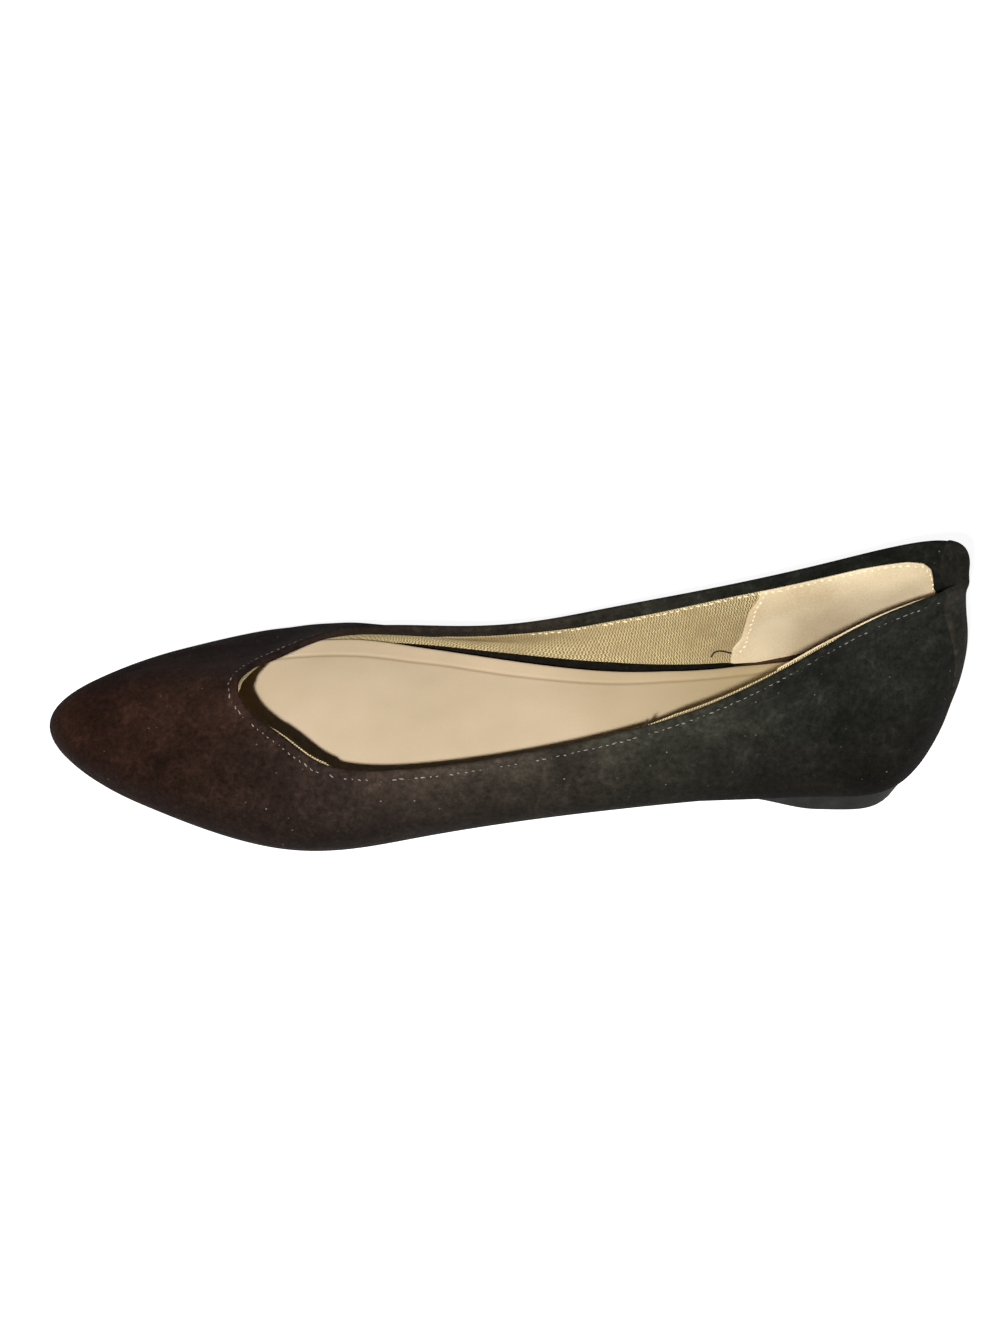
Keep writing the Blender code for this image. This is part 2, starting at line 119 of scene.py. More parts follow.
def natural_spline(knots, values, at):
    """Cubic through rows of values with free ends, read at the given places."""
    knots, values, at = (np.asarray(a, float) for a in (knots, values, at))
    count = len(knots)
    step = np.diff(knots)
    system = np.eye(count)
    bend = np.zeros_like(values)
    for i in range(1, count - 1):
        system[i, i - 1:i + 2] = step[i - 1], 2 * (step[i - 1] + step[i]), step[i]
        ahead = (values[i + 1] - values[i]) / step[i]
        bend[i] = 6 * (ahead - (values[i] - values[i - 1]) / step[i - 1])
    bend = np.linalg.solve(system, bend)
    k = np.clip(np.searchsorted(knots, at, side="right") - 1, 0, count - 2)
    width = step[k][:, None]
    b = (at - knots[k])[:, None] / width
    a = 1 - b
    curve = ((a ** 3 - a) * bend[k] + (b ** 3 - b) * bend[k + 1]) * width ** 2 / 6
    return a * values[k] + b * values[k + 1] + curve


def last_width(along):
    """Width that the ribs' side shares refer to."""
    to_ball = np.clip((along - SEAT_WIDTH_AT) / (BALL_WIDTH_AT - SEAT_WIDTH_AT), 0, 1)
    return SEAT_WIDTH + (BALL_WIDTH - SEAT_WIDTH) * to_ball


def seat_height(x):
    """Height of the last's bottom at places along the shoe."""
    table = np.array(SEAT)
    heights = (SOLE_THICKNESS + GAP + table[:, 1] * (HEEL_HEIGHT - SOLE_THICKNESS)
               + table[:, 2] * TOE_SPRING)
    along = np.clip(0.5 - np.asarray(x, float) / LAST_LENGTH, 0, 1)
    return natural_spline(table[:, 0], heights[:, None], along.ravel())[:, 0].reshape(along.shape)


def rib_rows():
    """The rib table in metres: foot x, y, topline x, y, z, swell, lean and the two pulls."""
    table = np.array(RIBS).T
    return np.column_stack([
        (0.5 - table[0]) * LAST_LENGTH, table[1] * last_width(table[0]),
        (0.5 - table[2]) * LAST_LENGTH, table[3] * last_width(table[2]),
        SIDE_HEIGHT + table[5] * (table[4] - SIDE_HEIGHT), table[6] * SIDE_SWELL,
        np.radians(table[7]), table[8], table[9],
    ])


ROWS = rib_rows()
FOOT_SHARE = 0.6
SPACING = (FOOT_SHARE * np.linalg.norm(np.roll(ROWS[:, 0:2], -1, 0) - ROWS[:, 0:2], axis=1)
           + (1 - FOOT_SHARE) * np.linalg.norm(np.roll(ROWS[:, 2:5], -1, 0) - ROWS[:, 2:5], axis=1))
GIRTH = SPACING.sum()      # once round the shoe, from the back by the outer side to the toe
KNOTS = np.concatenate([[0.0], np.cumsum(SPACING)[:-1]])
NEAR = 0.1 * MM            # apart, two points that give a direction


def rows_at(at):
    """Rows of the rib table between its own, which close on themselves."""
    turns = np.concatenate([KNOTS - GIRTH, KNOTS, KNOTS + GIRTH])
    return natural_spline(turns, np.tile(ROWS, (3, 1)), np.mod(at, GIRTH))


def unit(vectors):
    """Vectors of length one."""
    return vectors / np.linalg.norm(vectors, axis=-1, keepdims=True)


def level_out(tangents):
    """Outward level direction for a path that runs clockwise seen from above."""
    return unit(np.column_stack([-tangents[:, 1], tangents[:, 0], np.zeros(len(tangents))]))


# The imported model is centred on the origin, and the last is moved with it
CENTRE = np.zeros(3)
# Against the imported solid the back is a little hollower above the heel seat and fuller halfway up:
# share up the wall, half height as a share, depth in mm
BACK_SHAPE = ((0.20, 0.10, -0.35), (0.57, 0.22, 1.5))


def ribs(at):
    """Everything about the ribs at places round the shoe."""
    at = np.asarray(at, float)
    rows = rows_at(at)
    change = rows_at(at + NEAR) - rows_at(at - NEAR)
    skirt = smooth_step(rows[:, 0], *HEEL_SKIRT_FROM)[:, None]
    rib = {"feather": np.column_stack([rows[:, 0:2], seat_height(rows[:, 0])]) + CENTRE,
           "top": rows[:, 2:5] + CENTRE, "swell": rows[:, 5], "out": level_out(change[:, 0:2])}
    rib["foot"] = rib["feather"] - skirt * (UP * HEEL_SKIRT + rib["out"] * HEEL_TUCK)
    top_out = level_out(change[:, 2:4])
    lean = rows[:, 6][:, None]
    rib["top_up"] = UP * np.sin(lean) - top_out * np.cos(lean)
    across = np.cross(rib["top_up"], unit(change[:, 2:5]))
    rib["rim_out"] = unit(across) * np.sign((across * top_out).sum(1))[:, None]
    rib["length"] = np.linalg.norm(rib["top"] - rib["foot"], axis=1)
    rib["foot_handle"] = rows[:, 7] * rib["length"]
    rib["top_handle"] = rows[:, 8] * rib["length"]
    return rib


def side_curve(rib, share):
    """Points of the upper's outer face, a row of shares for each rib: 0 low, 1 at the topline."""
    slope = np.arctan2(rib["swell"], rib["foot_handle"])[:, None]
    low = rib["foot"] + UP * FEATHER_RADIUS * (1 - np.sin(slope))
    low_end = low + UP * rib["foot_handle"][:, None] + rib["out"] * rib["swell"][:, None]
    top_end = rib["top"] - rib["top_up"] * rib["top_handle"][:, None]
    low, low_end, top_end, top = (a[:, None] for a in (low, low_end, top_end, rib["top"]))
    w = share[:, :, None]
    return ((1 - w) ** 3 * low + 3 * w * (1 - w) ** 2 * low_end
            + 3 * w ** 2 * (1 - w) * top_end + w ** 3 * top)


def back_shape(at, share):
    """How far the back stands out from the ribs' plain curves."""
    from_back = np.abs(np.mod(np.reshape(at, (-1, 1)) + GIRTH / 2, GIRTH) - GIRTH / 2)
    bends = sum(depth * MM * np.exp(-((share - middle) / half) ** 2)
                for middle, half, depth in BACK_SHAPE)
    return bends * smooth_step(share, 0, 0.08) * (1 - smooth_step(from_back, 14 * MM, 38 * MM))


def wall(at, share, out):
    """Points at a distance out from the upper's outer face; negative is into the shoe."""
    out = out + back_shape(at, share)
    here, ahead, behind = (ribs(np.asarray(at) + step) for step in (0.0, NEAR, -NEAR))
    round_way = side_curve(ahead, share) - side_curve(behind, share)
    up_way = (side_curve(here, np.minimum(share + 0.01, 1))
              - side_curve(here, np.maximum(share - 0.01, 0)))
    return side_curve(here, share) + unit(np.cross(up_way, round_way)) * out[:, :, None]


def share_at(at, depth):
    """Shares of the ribs at depths below the topline, a row of depths for each rib."""
    steps = np.linspace(1, 0, 81)
    curve = side_curve(ribs(at), np.tile(steps, (len(at), 1)))
    gone = np.cumsum(np.linalg.norm(np.diff(curve, axis=1), axis=2), axis=1)
    gone = np.column_stack([np.zeros(len(at)), gone])
    return np.array([np.interp(d, g, steps) for d, g in zip(depth, gone)])


def rim(at, out, up):
    """Points round the topline: out is across the wall's thickness, up along the wall."""
    rib = ribs(at)
    return (rib["top"][:, None] + rib["rim_out"][:, None] * out[:, :, None]
            + rib["top_up"][:, None] * up[:, :, None])


def smooth_step(value, start, end):
    """From 0 at the start to 1 at the end, with soft turns."""
    t = np.clip((value - start) / (end - start), 0, 1)
    return t * t * (3 - 2 * t)


def read_round(table, at):
    """Lengths at places round the shoe, from a table of shares of the way round and millimetres."""
    return np.interp(np.mod(at, GIRTH) / GIRTH, *np.array(table).T) * MM


def loop_faces(loops, points, ring):
    """Faces of a sleeve made of closed loops, which is a ring itself or has flat ends."""
    faces = []
    for i in range(loops if ring else loops - 1):
        j = (i + 1) % loops
        for k in range(points):
            n = (k + 1) % points
            faces.append((i * points + k, i * points + n, j * points + n, j * points + k))
    if not ring:
        faces.append(tuple(reversed(range(points))))
        faces.append(tuple(range((loops - 1) * points, loops * points)))
    return faces


def add_piece(name, points, faces, material, slot_name, smooth_angle=50):
    """A piece of the shoe, shaded smooth, riding with the shoe's one body."""
    mesh = bpy.data.meshes.new(name)
    mesh.from_pydata(np.reshape(points, (-1, 3)).tolist(), [], faces)
    mesh.materials.append(material)
    mesh.shade_smooth()
    mesh.set_sharp_from_angle(angle=math.radians(smooth_angle))
    piece = bpy.data.objects.new(name, mesh)
    bpy.context.scene.collection.objects.link(piece)
    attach(piece, "root")
    return piece


def add_loops(name, loops, material, slot_name, ring=False):
    """A piece made of closed loops."""
    return add_piece(name, loops, loop_faces(*loops.shape[:2], ring), material, slot_name)


def add_places(piece, places):
    """Keep each point's place on the flat cloth, in metres, for the weave to follow."""
    kept = piece.data.attributes.new("cloth", "FLOAT_VECTOR", "POINT")
    kept.data.foreach_set("vector", np.reshape(places, -1).astype(np.float32))


def linear(hex_colour):
    """An sRGB hex colour as linear red, green, blue and alpha."""
    parts = [int(hex_colour[i:i + 2], 16) / 255 for i in (1, 3, 5)]
    return [c / 12.92 if c <= 0.04045 else ((c + 0.055) / 1.055) ** 2.4 for c in parts] + [1.0]


def new_material(name, roughness, ior=1.5, glint=0.5, sheen=0.0):
    """A material that isn't metal, and its node tree and shader; glint 0.5 is a plain surface."""
    material = bpy.data.materials.new(name)
    material.use_nodes = True
    shader = material.node_tree.nodes["Principled BSDF"]
    shader.inputs["Roughness"].default_value = roughness
    shader.inputs["Metallic"].default_value = 0.0
    shader.inputs["IOR"].default_value = ior
    shader.inputs["Specular IOR Level"].default_value = glint
    shader.inputs["Sheen Weight"].default_value = sheen
    return material, material.node_tree, shader


def add_node(tree, kind, inputs, **settings):
    """A node with its settings; each input is a value, another node or one of its outputs. A mix
    takes its share at 0 and its two colours at 6 and 7."""
    made = tree.nodes.new("ShaderNode" + kind)
    for name, value in settings.items():
        setattr(made, name, value)
    for name, value in inputs.items():
        if isinstance(value, bpy.types.Node):
            value = next(output for output in value.outputs if output.enabled)
        if isinstance(value, bpy.types.NodeSocket):
            tree.links.new(value, made.inputs[name])
        else:
            made.inputs[name].default_value = value
    return made


def colour_ramp(tree, share, stops):
    """Colours along a share, from pairs of a place on it and a colour."""
    ramp = add_node(tree, "ValToRGB", {"Fac": share})
    made = ramp.color_ramp.elements
    for k in (0, -1):
        made[k].position = stops[k][0]
        made[k].color = linear(stops[k][1])
    for place, colour in stops[1:-1]:
        made.new(place).color = linear(colour)
    return ramp


def finish_surface(tree, shader, colour, height=None, strength=0.0, depth=0.0):
    """Give a material's shader its colour and, where there is a height, its fine relief."""
    tree.links.new(colour.outputs[2], shader.inputs["Base Color"])
    if height:
        relief = add_node(tree, "Bump", {"Height": height, "Strength": strength, "Distance": depth})
        tree.links.new(relief.outputs["Normal"], shader.inputs["Normal"])


RIM_ROUND = 1.0 * MM       # the topline is rounded over half of the wall's thickness
LINING_OUT = -1.75 * MM    # back of the lining, from the upper's outer face
LINING_FACE = -2.15 * MM
# Its raw edge below the topline: share of the way round, millimetres. On the outer side it has been
# pulled up and peeps over the rim in places. On the inner side it lies below a fold of suede, which
# is wide beside the throat. At the back it ends low, below the turned-in back strip.
LINING_EDGE = (
    (0.00, 19.0), (0.02, 14.0), (0.034, 6.0), (0.045, 2.2), (0.055, 1.6), (0.09, 1.2), (0.10, 0.6),
    (0.15, 0.3), (0.19, -0.1), (0.215, 1.3), (0.375, 1.3), (0.39, -0.3), (0.45, -0.35), (0.47, 0.8),
    (0.488, 1.0), (0.50, -0.3), (0.515, -0.3), (0.535, 1.2), (0.57, 3.6), (0.58, 6.0), (0.59, 12.0),
    (0.60, 18.0), (0.655, 18.0), (0.668, 9.0), (0.68, 4.3), (0.70, 3.6), (0.72, 3.4), (0.77, 4.4),
    (0.82, 4.2), (0.86, 3.5), (0.92, 3.8), (0.94, 4.8), (0.95, 6.2), (0.957, 8.5), (0.9635, 12.5),
    (0.97, 17.0), (0.978, 19.0), (1.00, 19.0),
)
# Height of its lower end over the last's bottom: share of the way round, millimetres. On the inner
# side it stops short of the sock and leaves a dark gap.
LINING_FOOT = (
    (0.00, 2.5), (0.575, 2.5), (0.59, 0.8), (0.652, 0.8), (0.668, 3.7), (0.71, 5.0), (0.75, 5.6),
    (0.80, 5.9), (0.83, 5.4), (0.863, 4.7), (0.881, 3.7), (0.896, 2.2), (0.92, 2.0), (0.96, 2.5),
    (1.00, 2.5),
)
COLUMNS = 720              # points round the shoe, about 0.9 mm apart
LINING_ROWS = 44
EDGE_ROUND = 0.2 * MM      # worn round of a cut edge
THREAD = 0.8 * MM          # spacing of the lining's threads, drawn coarse so that it shows

all_round = np.linspace(0, GIRTH, COLUMNS, endpoint=False)
outline = wall(all_round, np.tile(np.linspace(0, 1, 40), (COLUMNS, 1)), np.zeros((COLUMNS, 40)))
upper_low, upper_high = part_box("upper")


def at_depth(at, depth, out):
    """Points at depths below the topline, or over it where a depth is negative."""
    over = ribs(at)["top_up"][:, None] * np.maximum(-depth, 0)[:, :, None]
    return wall(at, share_at(at, np.maximum(depth, 0)), out) + over


def lining_foot(at):
    """Shares of the ribs where the lining ends, a little way up from the feather edge."""
    steps = np.linspace(0, 1, 101)
    curve = side_curve(ribs(at), np.tile(steps, (len(at), 1)))
    lift = curve[:, :, 2] - seat_height(ribs(at)["foot"][:, 0])[:, None]
    return np.array([np.interp(h, row, steps) for h, row in zip(read_round(LINING_FOOT, at), lift)])


def cloth_loops(at, edge, face, back, foot_share, rows):
    """Closed loops for cloth on the inside: over its raw edge, down its face and up its back."""
    count = len(at)
    edge = edge[:, None]
    lip = EDGE_ROUND * np.array([0.6, 0.0, 0.0, 0.6])
    lip_out = face + (back - face) * np.array([1.0, 0.75, 0.25, 0.0])
    start = share_at(at, np.maximum(edge + 2 * EDGE_ROUND, 0.2 * MM))
    low = foot_share[:, None]
    down = start + (low - start) * np.linspace(0, 1, rows)
    over = at_depth(at, edge + lip, np.tile(lip_out, (count, 1)))
    inside = wall(at, down, np.full((count, rows), face))
    behind = wall(at, down[:, ::-2], np.full((count, len(down[0, ::-2])), back))
    return np.concatenate([over, inside, behind], axis=1)


def cloth_places(loops, at):
    """Flat places for cloth: along the topline, and along each loop from its edge."""
    gone = np.cumsum(np.linalg.norm(np.diff(loops, axis=1), axis=2), axis=1)
    gone = np.column_stack([np.zeros(len(at)), gone])
    run = np.linalg.norm(np.diff(ribs(at)["top"], axis=0), axis=1)
    run = np.concatenate([[0.0], np.cumsum(run)])
    return np.stack([np.repeat(run[:, None], gone.shape[1], 1), gone, np.zeros_like(gone)], 2)


def woven_lining():
    """Woven polyester with a gold cast: ridged, so its threads catch the light in small dashes."""
    material, tree, shader = new_material("woven_polyester_lining", 0.6, glint=0.3)
    cloth = add_node(tree, "Attribute", {}, attribute_name="cloth")
    place = cloth.outputs["Vector"]
    split = add_node(tree, "SeparateXYZ", {0: place})
    wander = add_node(tree, "TexNoise", {"Vector": place, "Scale": 520.0, "Detail": 4.0,
                                         "Roughness": 0.7})
    # Threads that wander a little and sway, crossed by others
    turn = 2 * math.pi / THREAD
    bent = add_node(tree, "Math", {0: wander, 1: 8.0}, operation="MULTIPLY")
    along = add_node(tree, "Math", {0: split.outputs["X"], 1: turn, 2: bent}, operation="MULTIPLY_ADD")
    zigzag = add_node(tree, "Math", {0: split.outputs["Y"], 1: turn * 0.55}, operation="MULTIPLY")
    sway = add_node(tree, "Math", {0: zigzag}, operation="SINE")
    swayed = add_node(tree, "Math", {0: sway, 1: 1.1, 2: along}, operation="MULTIPLY_ADD")
    warp = add_node(tree, "Math", {0: swayed}, operation="SINE")
    down = add_node(tree, "Math", {0: split.outputs["Y"], 1: turn * 1.1, 2: along},
                    operation="MULTIPLY_ADD")
    weft = add_node(tree, "Math", {0: down}, operation="SINE")
    knot = add_node(tree, "Math", {0: warp, 1: weft}, operation="ADD")
    height = add_node(tree, "MapRange", {"Value": knot, "From Min": -2.0, "From Max": 2.0})
    # The cloth's gold, with painted shade between the threads and painted highlight on them, duller in
    # worn patches
    patch = add_node(tree, "TexNoise", {"Vector": place, "Scale": 110.0, "Detail": 4.0,
                                        "Roughness": 0.7})
    worn = add_node(tree, "MapRange", {"Value": patch, "From Min": 0.42, "From Max": 0.66,
                                       "To Max": 0.6})
    ramp = colour_ramp(tree, height, ((0.15, "#4a3816"), (0.5, "#98835a"), (0.85, "#e5d6a4")))
    cast = add_node(tree, "Mix", {0: worn, 6: ramp, 7: linear("#95815c")}, data_type="RGBA")
    finish_surface(tree, shader, cast, height, 0.7, 0.25 * MM)
    return material


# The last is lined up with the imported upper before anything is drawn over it
CENTRE[:2] = ((np.array(upper_low) + np.array(upper_high)) / 2
              - (outline.min((0, 1)) + outline.max((0, 1))) / 2)[:2]

lining_loops = cloth_loops(all_round, read_round(LINING_EDGE, all_round), LINING_FACE, LINING_OUT,
                           lining_foot(all_round), LINING_ROWS)
lining = add_loops("lining", lining_loops, woven_lining(), "beige_microfibre", ring=True)
add_places(lining, cloth_places(lining_loops, all_round))


# The heel grip
# A piece of beige microfibre over the lining at the back, which keeps the heel from slipping. It
# is sewn down along its front edges, and its top is sewn in with the lining's.

GRIP_REACH = 63.5 * MM     # from the back to its front edge, along the topline
GRIP_REACH_LOW = 67.3 * MM  # and lower down
GRIP_FACE = -2.6 * MM
GRIP_COLUMNS = 150
GRIP_ROWS = 36
GRIP_EDGE = 0.8 * MM       # its front edge is pressed down over this width


def beige_microfibre(name, light, dark, grain, heel_shade_colour=None):
    """Microfibre: very short soft pile, matte, with a fine cloudy grain; painted shade can make it
    greyer towards the heel.
    """
    material, tree, shader = new_material(name, 0.9, ior=1.45, glint=0.15, sheen=0.03)
    place = add_node(tree, "TexCoord", {}).outputs["Object"]
    pile = add_node(tree, "TexNoise", {"Vector": place, "Scale": 1 / grain, "Detail": 3.0,
                                       "Roughness": 0.7})
    cloud = add_node(tree, "TexNoise", {"Vector": place, "Scale": 45.0, "Detail": 2.0})
    both = add_node(tree, "Math", {0: pile, 1: 0.55, 2: cloud}, operation="MULTIPLY_ADD")
    spread = add_node(tree, "MapRange", {"Value": both, "From Min": 0.55, "From Max": 1.0})
    tone = add_node(tree, "Mix", {0: spread, 6: linear(dark), 7: linear(light)}, data_type="RGBA")
    if heel_shade_colour:
        # Painted shade: greyer towards the heel, and darker in the pressed line
        split = add_node(tree, "SeparateXYZ", {0: place})
        heel_shade = add_node(tree, "MapRange", {"Value": split.outputs["X"], "From Min": 15 * MM,
                                           "From Max": 70 * MM})
        tone = add_node(tree, "Mix", {0: heel_shade, 6: tone, 7: linear(heel_shade_colour)}, data_type="RGBA")
        # Painted shade in the pressed line, from its mask on the sock
        line = add_node(tree, "Attribute", {}, attribute_name="pressed_line_shade")
        faint = add_node(tree, "Math", {0: line.outputs["Fac"], 1: 0.45}, operation="MULTIPLY")
        tone = add_node(tree, "Mix", {0: faint, 6: tone, 7: linear("#806a49")}, data_type="RGBA")
    finish_surface(tree, shader, tone, pile, 0.35, 0.2 * MM)
    return material


def grip_reach(down):
    """How far the grip reaches from the back, at a share of the way down: its front edge is stepped."""
    step = 0.5 * smooth_step(down, 0.05, 0.3) + 0.5 * smooth_step(down, 0.62, 0.82)
    return GRIP_REACH + (GRIP_REACH_LOW - GRIP_REACH) * step


def grip_loops():
    """The grip's loops; its two front edges are drawn down on to the lining."""
    at = np.linspace(-GRIP_REACH, GRIP_REACH, GRIP_COLUMNS)
    at = np.sort(np.concatenate([at, [GRIP_EDGE / 2 - GRIP_REACH, GRIP_REACH - GRIP_EDGE / 2]]))
    slanted = []
    for places in (at, at * GRIP_REACH_LOW / GRIP_REACH):
        foot = lining_foot(places)
        edge = read_round(LINING_EDGE, places)
        loops = cloth_loops(places, edge - 0.1 * MM, GRIP_FACE, LINING_FACE, foot, GRIP_ROWS)
        flat = cloth_loops(places, edge, LINING_FACE, LINING_OUT, foot, GRIP_ROWS)
        proud = smooth_step(GRIP_REACH - np.abs(at), -GRIP_EDGE / 2, GRIP_EDGE)[:, None, None]
        slanted.append(flat + (loops - flat) * proud)
    gone = np.linalg.norm(slanted[0] - slanted[0][:, :1], axis=2)
    down = grip_reach(gone / gone.max(1, keepdims=True))[:, :, None]
    return slanted[0] + (slanted[1] - slanted[0]) * (down - GRIP_REACH) / (GRIP_REACH_LOW - GRIP_REACH)


grip_cloth = beige_microfibre("beige_microfibre_grip", "#d3c2a2", "#ad9877", 0.5 * MM)
add_loops("heel_grip", grip_loops(), grip_cloth, "beige_microfibre")


# The suede upper
# Quarters and vamp in black suede, drawn over the last and turned under it. Along the topline the
# suede is folded to the inside, and the lining is laid over the fold.

SUEDE = 1.0 * MM           # its thickness
MARGIN = 6 * MM            # turned under the last
STITCH_DEPTH = 2.3 * MM    # row of stitches below the topline
STITCH_DIP = 0.16 * MM
FOLD_PUFF = 0.12 * MM      # the folded edge stands up a little above the stitches
FOLD_DOWN = 2.5 * MM       # the fold runs on this far below the lining's edge
FINE_DEPTH = 6 * MM        # rows of points are close together down to here
WALL_ROWS = 40
FINE_ROWS = 18
RIM_ROWS = 9
FOLD_ROWS = 6

# Soft dents and ridges in the suede: share of the way round, share up the wall, half length and
# half width in mm, turn in degrees from level, height in mm
CREASES = (
    (0.455, 0.42, 13, 7, 20, -0.45), (0.425, 0.62, 12, 5, -35, 0.35),
    (0.400, 0.45, 11, 4, -60, -0.30), (0.375, 0.50, 12, 3.5, 70, -0.28),
    (0.360, 0.42, 11, 3.5, 62, 0.25), (0.340, 0.50, 12, 3.5, 75, -0.25),
    (0.320, 0.35, 13, 5, 60, 0.22), (0.280, 0.55, 16, 6, 20, -0.25),
    (0.230, 0.40, 18, 6, -10, 0.25), (0.180, 0.55, 12, 6, 30, -0.25),
    (0.130, 0.50, 12, 9, 50, -0.40), (0.100, 0.62, 13, 8, -20, 0.30),
    (0.070, 0.35, 10, 8, 15, -0.35), (0.520, 0.50, 12, 6, 10, -0.30),
    (0.560, 0.55, 10, 5, 35, 0.28), (0.620, 0.50, 11, 4, 65, -0.28),
    (0.650, 0.45, 12, 4, 75, 0.22), (0.680, 0.52, 12, 4, 70, -0.25),
    (0.760, 0.50, 15, 7, -15, 0.25), (0.840, 0.50, 13, 8, 25, -0.30),
    (0.920, 0.40, 11, 8, -25, -0.30), (0.480, 0.20, 14, 5, 0, 0.30),
    (0.440, 0.15, 12, 5, 10, -0.25),
)


def relief(at, share, depth):
    """How far the suede stands out from the last's own shape."""
    length = ribs(at)["length"][:, None]
    height = np.zeros_like(share)
    for turn, up, half_length, half_width, angle, rise in CREASES:
        a, b = (at[:, None] - turn * GIRTH) / MM, (share - up) * length / MM
        cosine, sine = math.cos(math.radians(angle)), math.sin(math.radians(angle))
        along = a * cosine + b * sine
        across = b * cosine - a * sine
        height += rise * MM * np.exp(-(along / half_length) ** 2 - (across / half_width) ** 2)
    height *= smooth_step(depth, 3 * MM, 8 * MM) * smooth_step(share, 0.0, 0.12)
    height -= STITCH_DIP * np.exp(-((depth - STITCH_DEPTH) / (0.45 * MM)) ** 2)
    return height + FOLD_PUFF * np.exp(-((depth - 2 * MM) / (0.8 * MM)) ** 2)


def feather_bend(at, turn, inside):
    """Bend round the feather edge: turn 0 meets the wall and 1 points down."""
    rib = ribs(at)
    slope = np.arctan2(rib["swell"], rib["foot_handle"])[:, None]
    low = rib["foot"] + UP * FEATHER_RADIUS * (1 - np.sin(slope))
    middle = low - FEATHER_RADIUS * (rib["out"] * np.cos(slope) - UP * np.sin(slope))
    angle = slope + (math.pi / 2 - slope) * turn
    radius = FEATHER_RADIUS - inside
    return middle + radius * (rib["out"] * np.cos(angle) - UP * np.sin(angle))


def margin_width(at):
    """The margin is trimmed where the feather edge bends sharply."""
    rib = ribs(at)
    run = np.roll(rib["foot"], -1, 0) - np.roll(rib["foot"], 1, 0)
    turn = np.roll(rib["out"], -1, 0) - np.roll(rib["out"], 1, 0)
    radius = np.linalg.norm(run, axis=1) / np.linalg.norm(turn, axis=1)
    return np.minimum(MARGIN, 0.5 * (radius - FEATHER_RADIUS))


def margin_point(at, inward, inside):
    """Places on the margin, in from the feather edge; inside is above its lower face."""
    point = feather_bend(at, 1.0, inside) - ribs(at)["out"] * inward[:, None]
    point[:, 2] = seat_height(point[:, 0]) + inside
    return point


def suede_loops(at):
    """Closed loops: under the last, up the wall, over the rim, down the fold and back inside."""
    count = len(at)
    margin = margin_width(at)
    edge = read_round(LINING_EDGE, at)[:, None]
    under = [margin_point(at, margin, 0), margin_point(at, margin / 2, 0)]
    under += [feather_bend(at, 1 - i / 6, 0) for i in range(6)]
    fine_from = share_at(at, np.full((count, 1), FINE_DEPTH))
    coarse = fine_from * np.linspace(0, 1, WALL_ROWS, endpoint=False)
    fine_depth = np.tile(np.linspace(FINE_DEPTH, RIM_ROUND, FINE_ROWS), (count, 1))
    share = np.concatenate([coarse, share_at(at, fine_depth)], axis=1)
    length = ribs(at)["length"][:, None]
    depth = np.concatenate([FINE_DEPTH + (fine_from - coarse) * length, fine_depth], axis=1)
    outside = wall(at, share, relief(at, share, depth))
    reach = 1.6 * MM + 0.4 * MM * smooth_step(edge, 0.8 * MM, 1.6 * MM)
    t = np.linspace(0, math.pi, RIM_ROWS + 2)[1:]
    over = rim(at, -reach / 2 * (1 - np.cos(t)), np.tile(RIM_ROUND * (np.sin(t) - 1), (count, 1)))
    fold_edge = np.maximum(edge, RIM_ROUND + 0.3 * MM)
    facing = RIM_ROUND + (fold_edge - RIM_ROUND) * np.linspace(0, 1, FOLD_ROWS + 1)[1:]
    tucked = fold_edge + np.array([[0.35 * MM, FOLD_DOWN, FOLD_DOWN]])
    fold_depth = np.concatenate([facing, tucked], axis=1)
    fold_out = np.concatenate([np.repeat(-reach, FOLD_ROWS, 1),
                               np.tile([-1.6 * MM, -1.6 * MM, -SUEDE], (count, 1))], axis=1)
    fold = at_depth(at, fold_depth, fold_out)
    fold_share = share_at(at, fold_edge + FOLD_DOWN)
    back = wall(at, fold_share * np.linspace(1, 0, 9)[1:], np.full((count, 8), -SUEDE))
    inside = [feather_bend(at, t, SUEDE) for t in (0.35, 0.7, 1.0)] + [margin_point(at, margin, SUEDE)]
    return np.concatenate([np.stack(under, 1), outside, over, fold, back, np.stack(inside, 1)], axis=1)


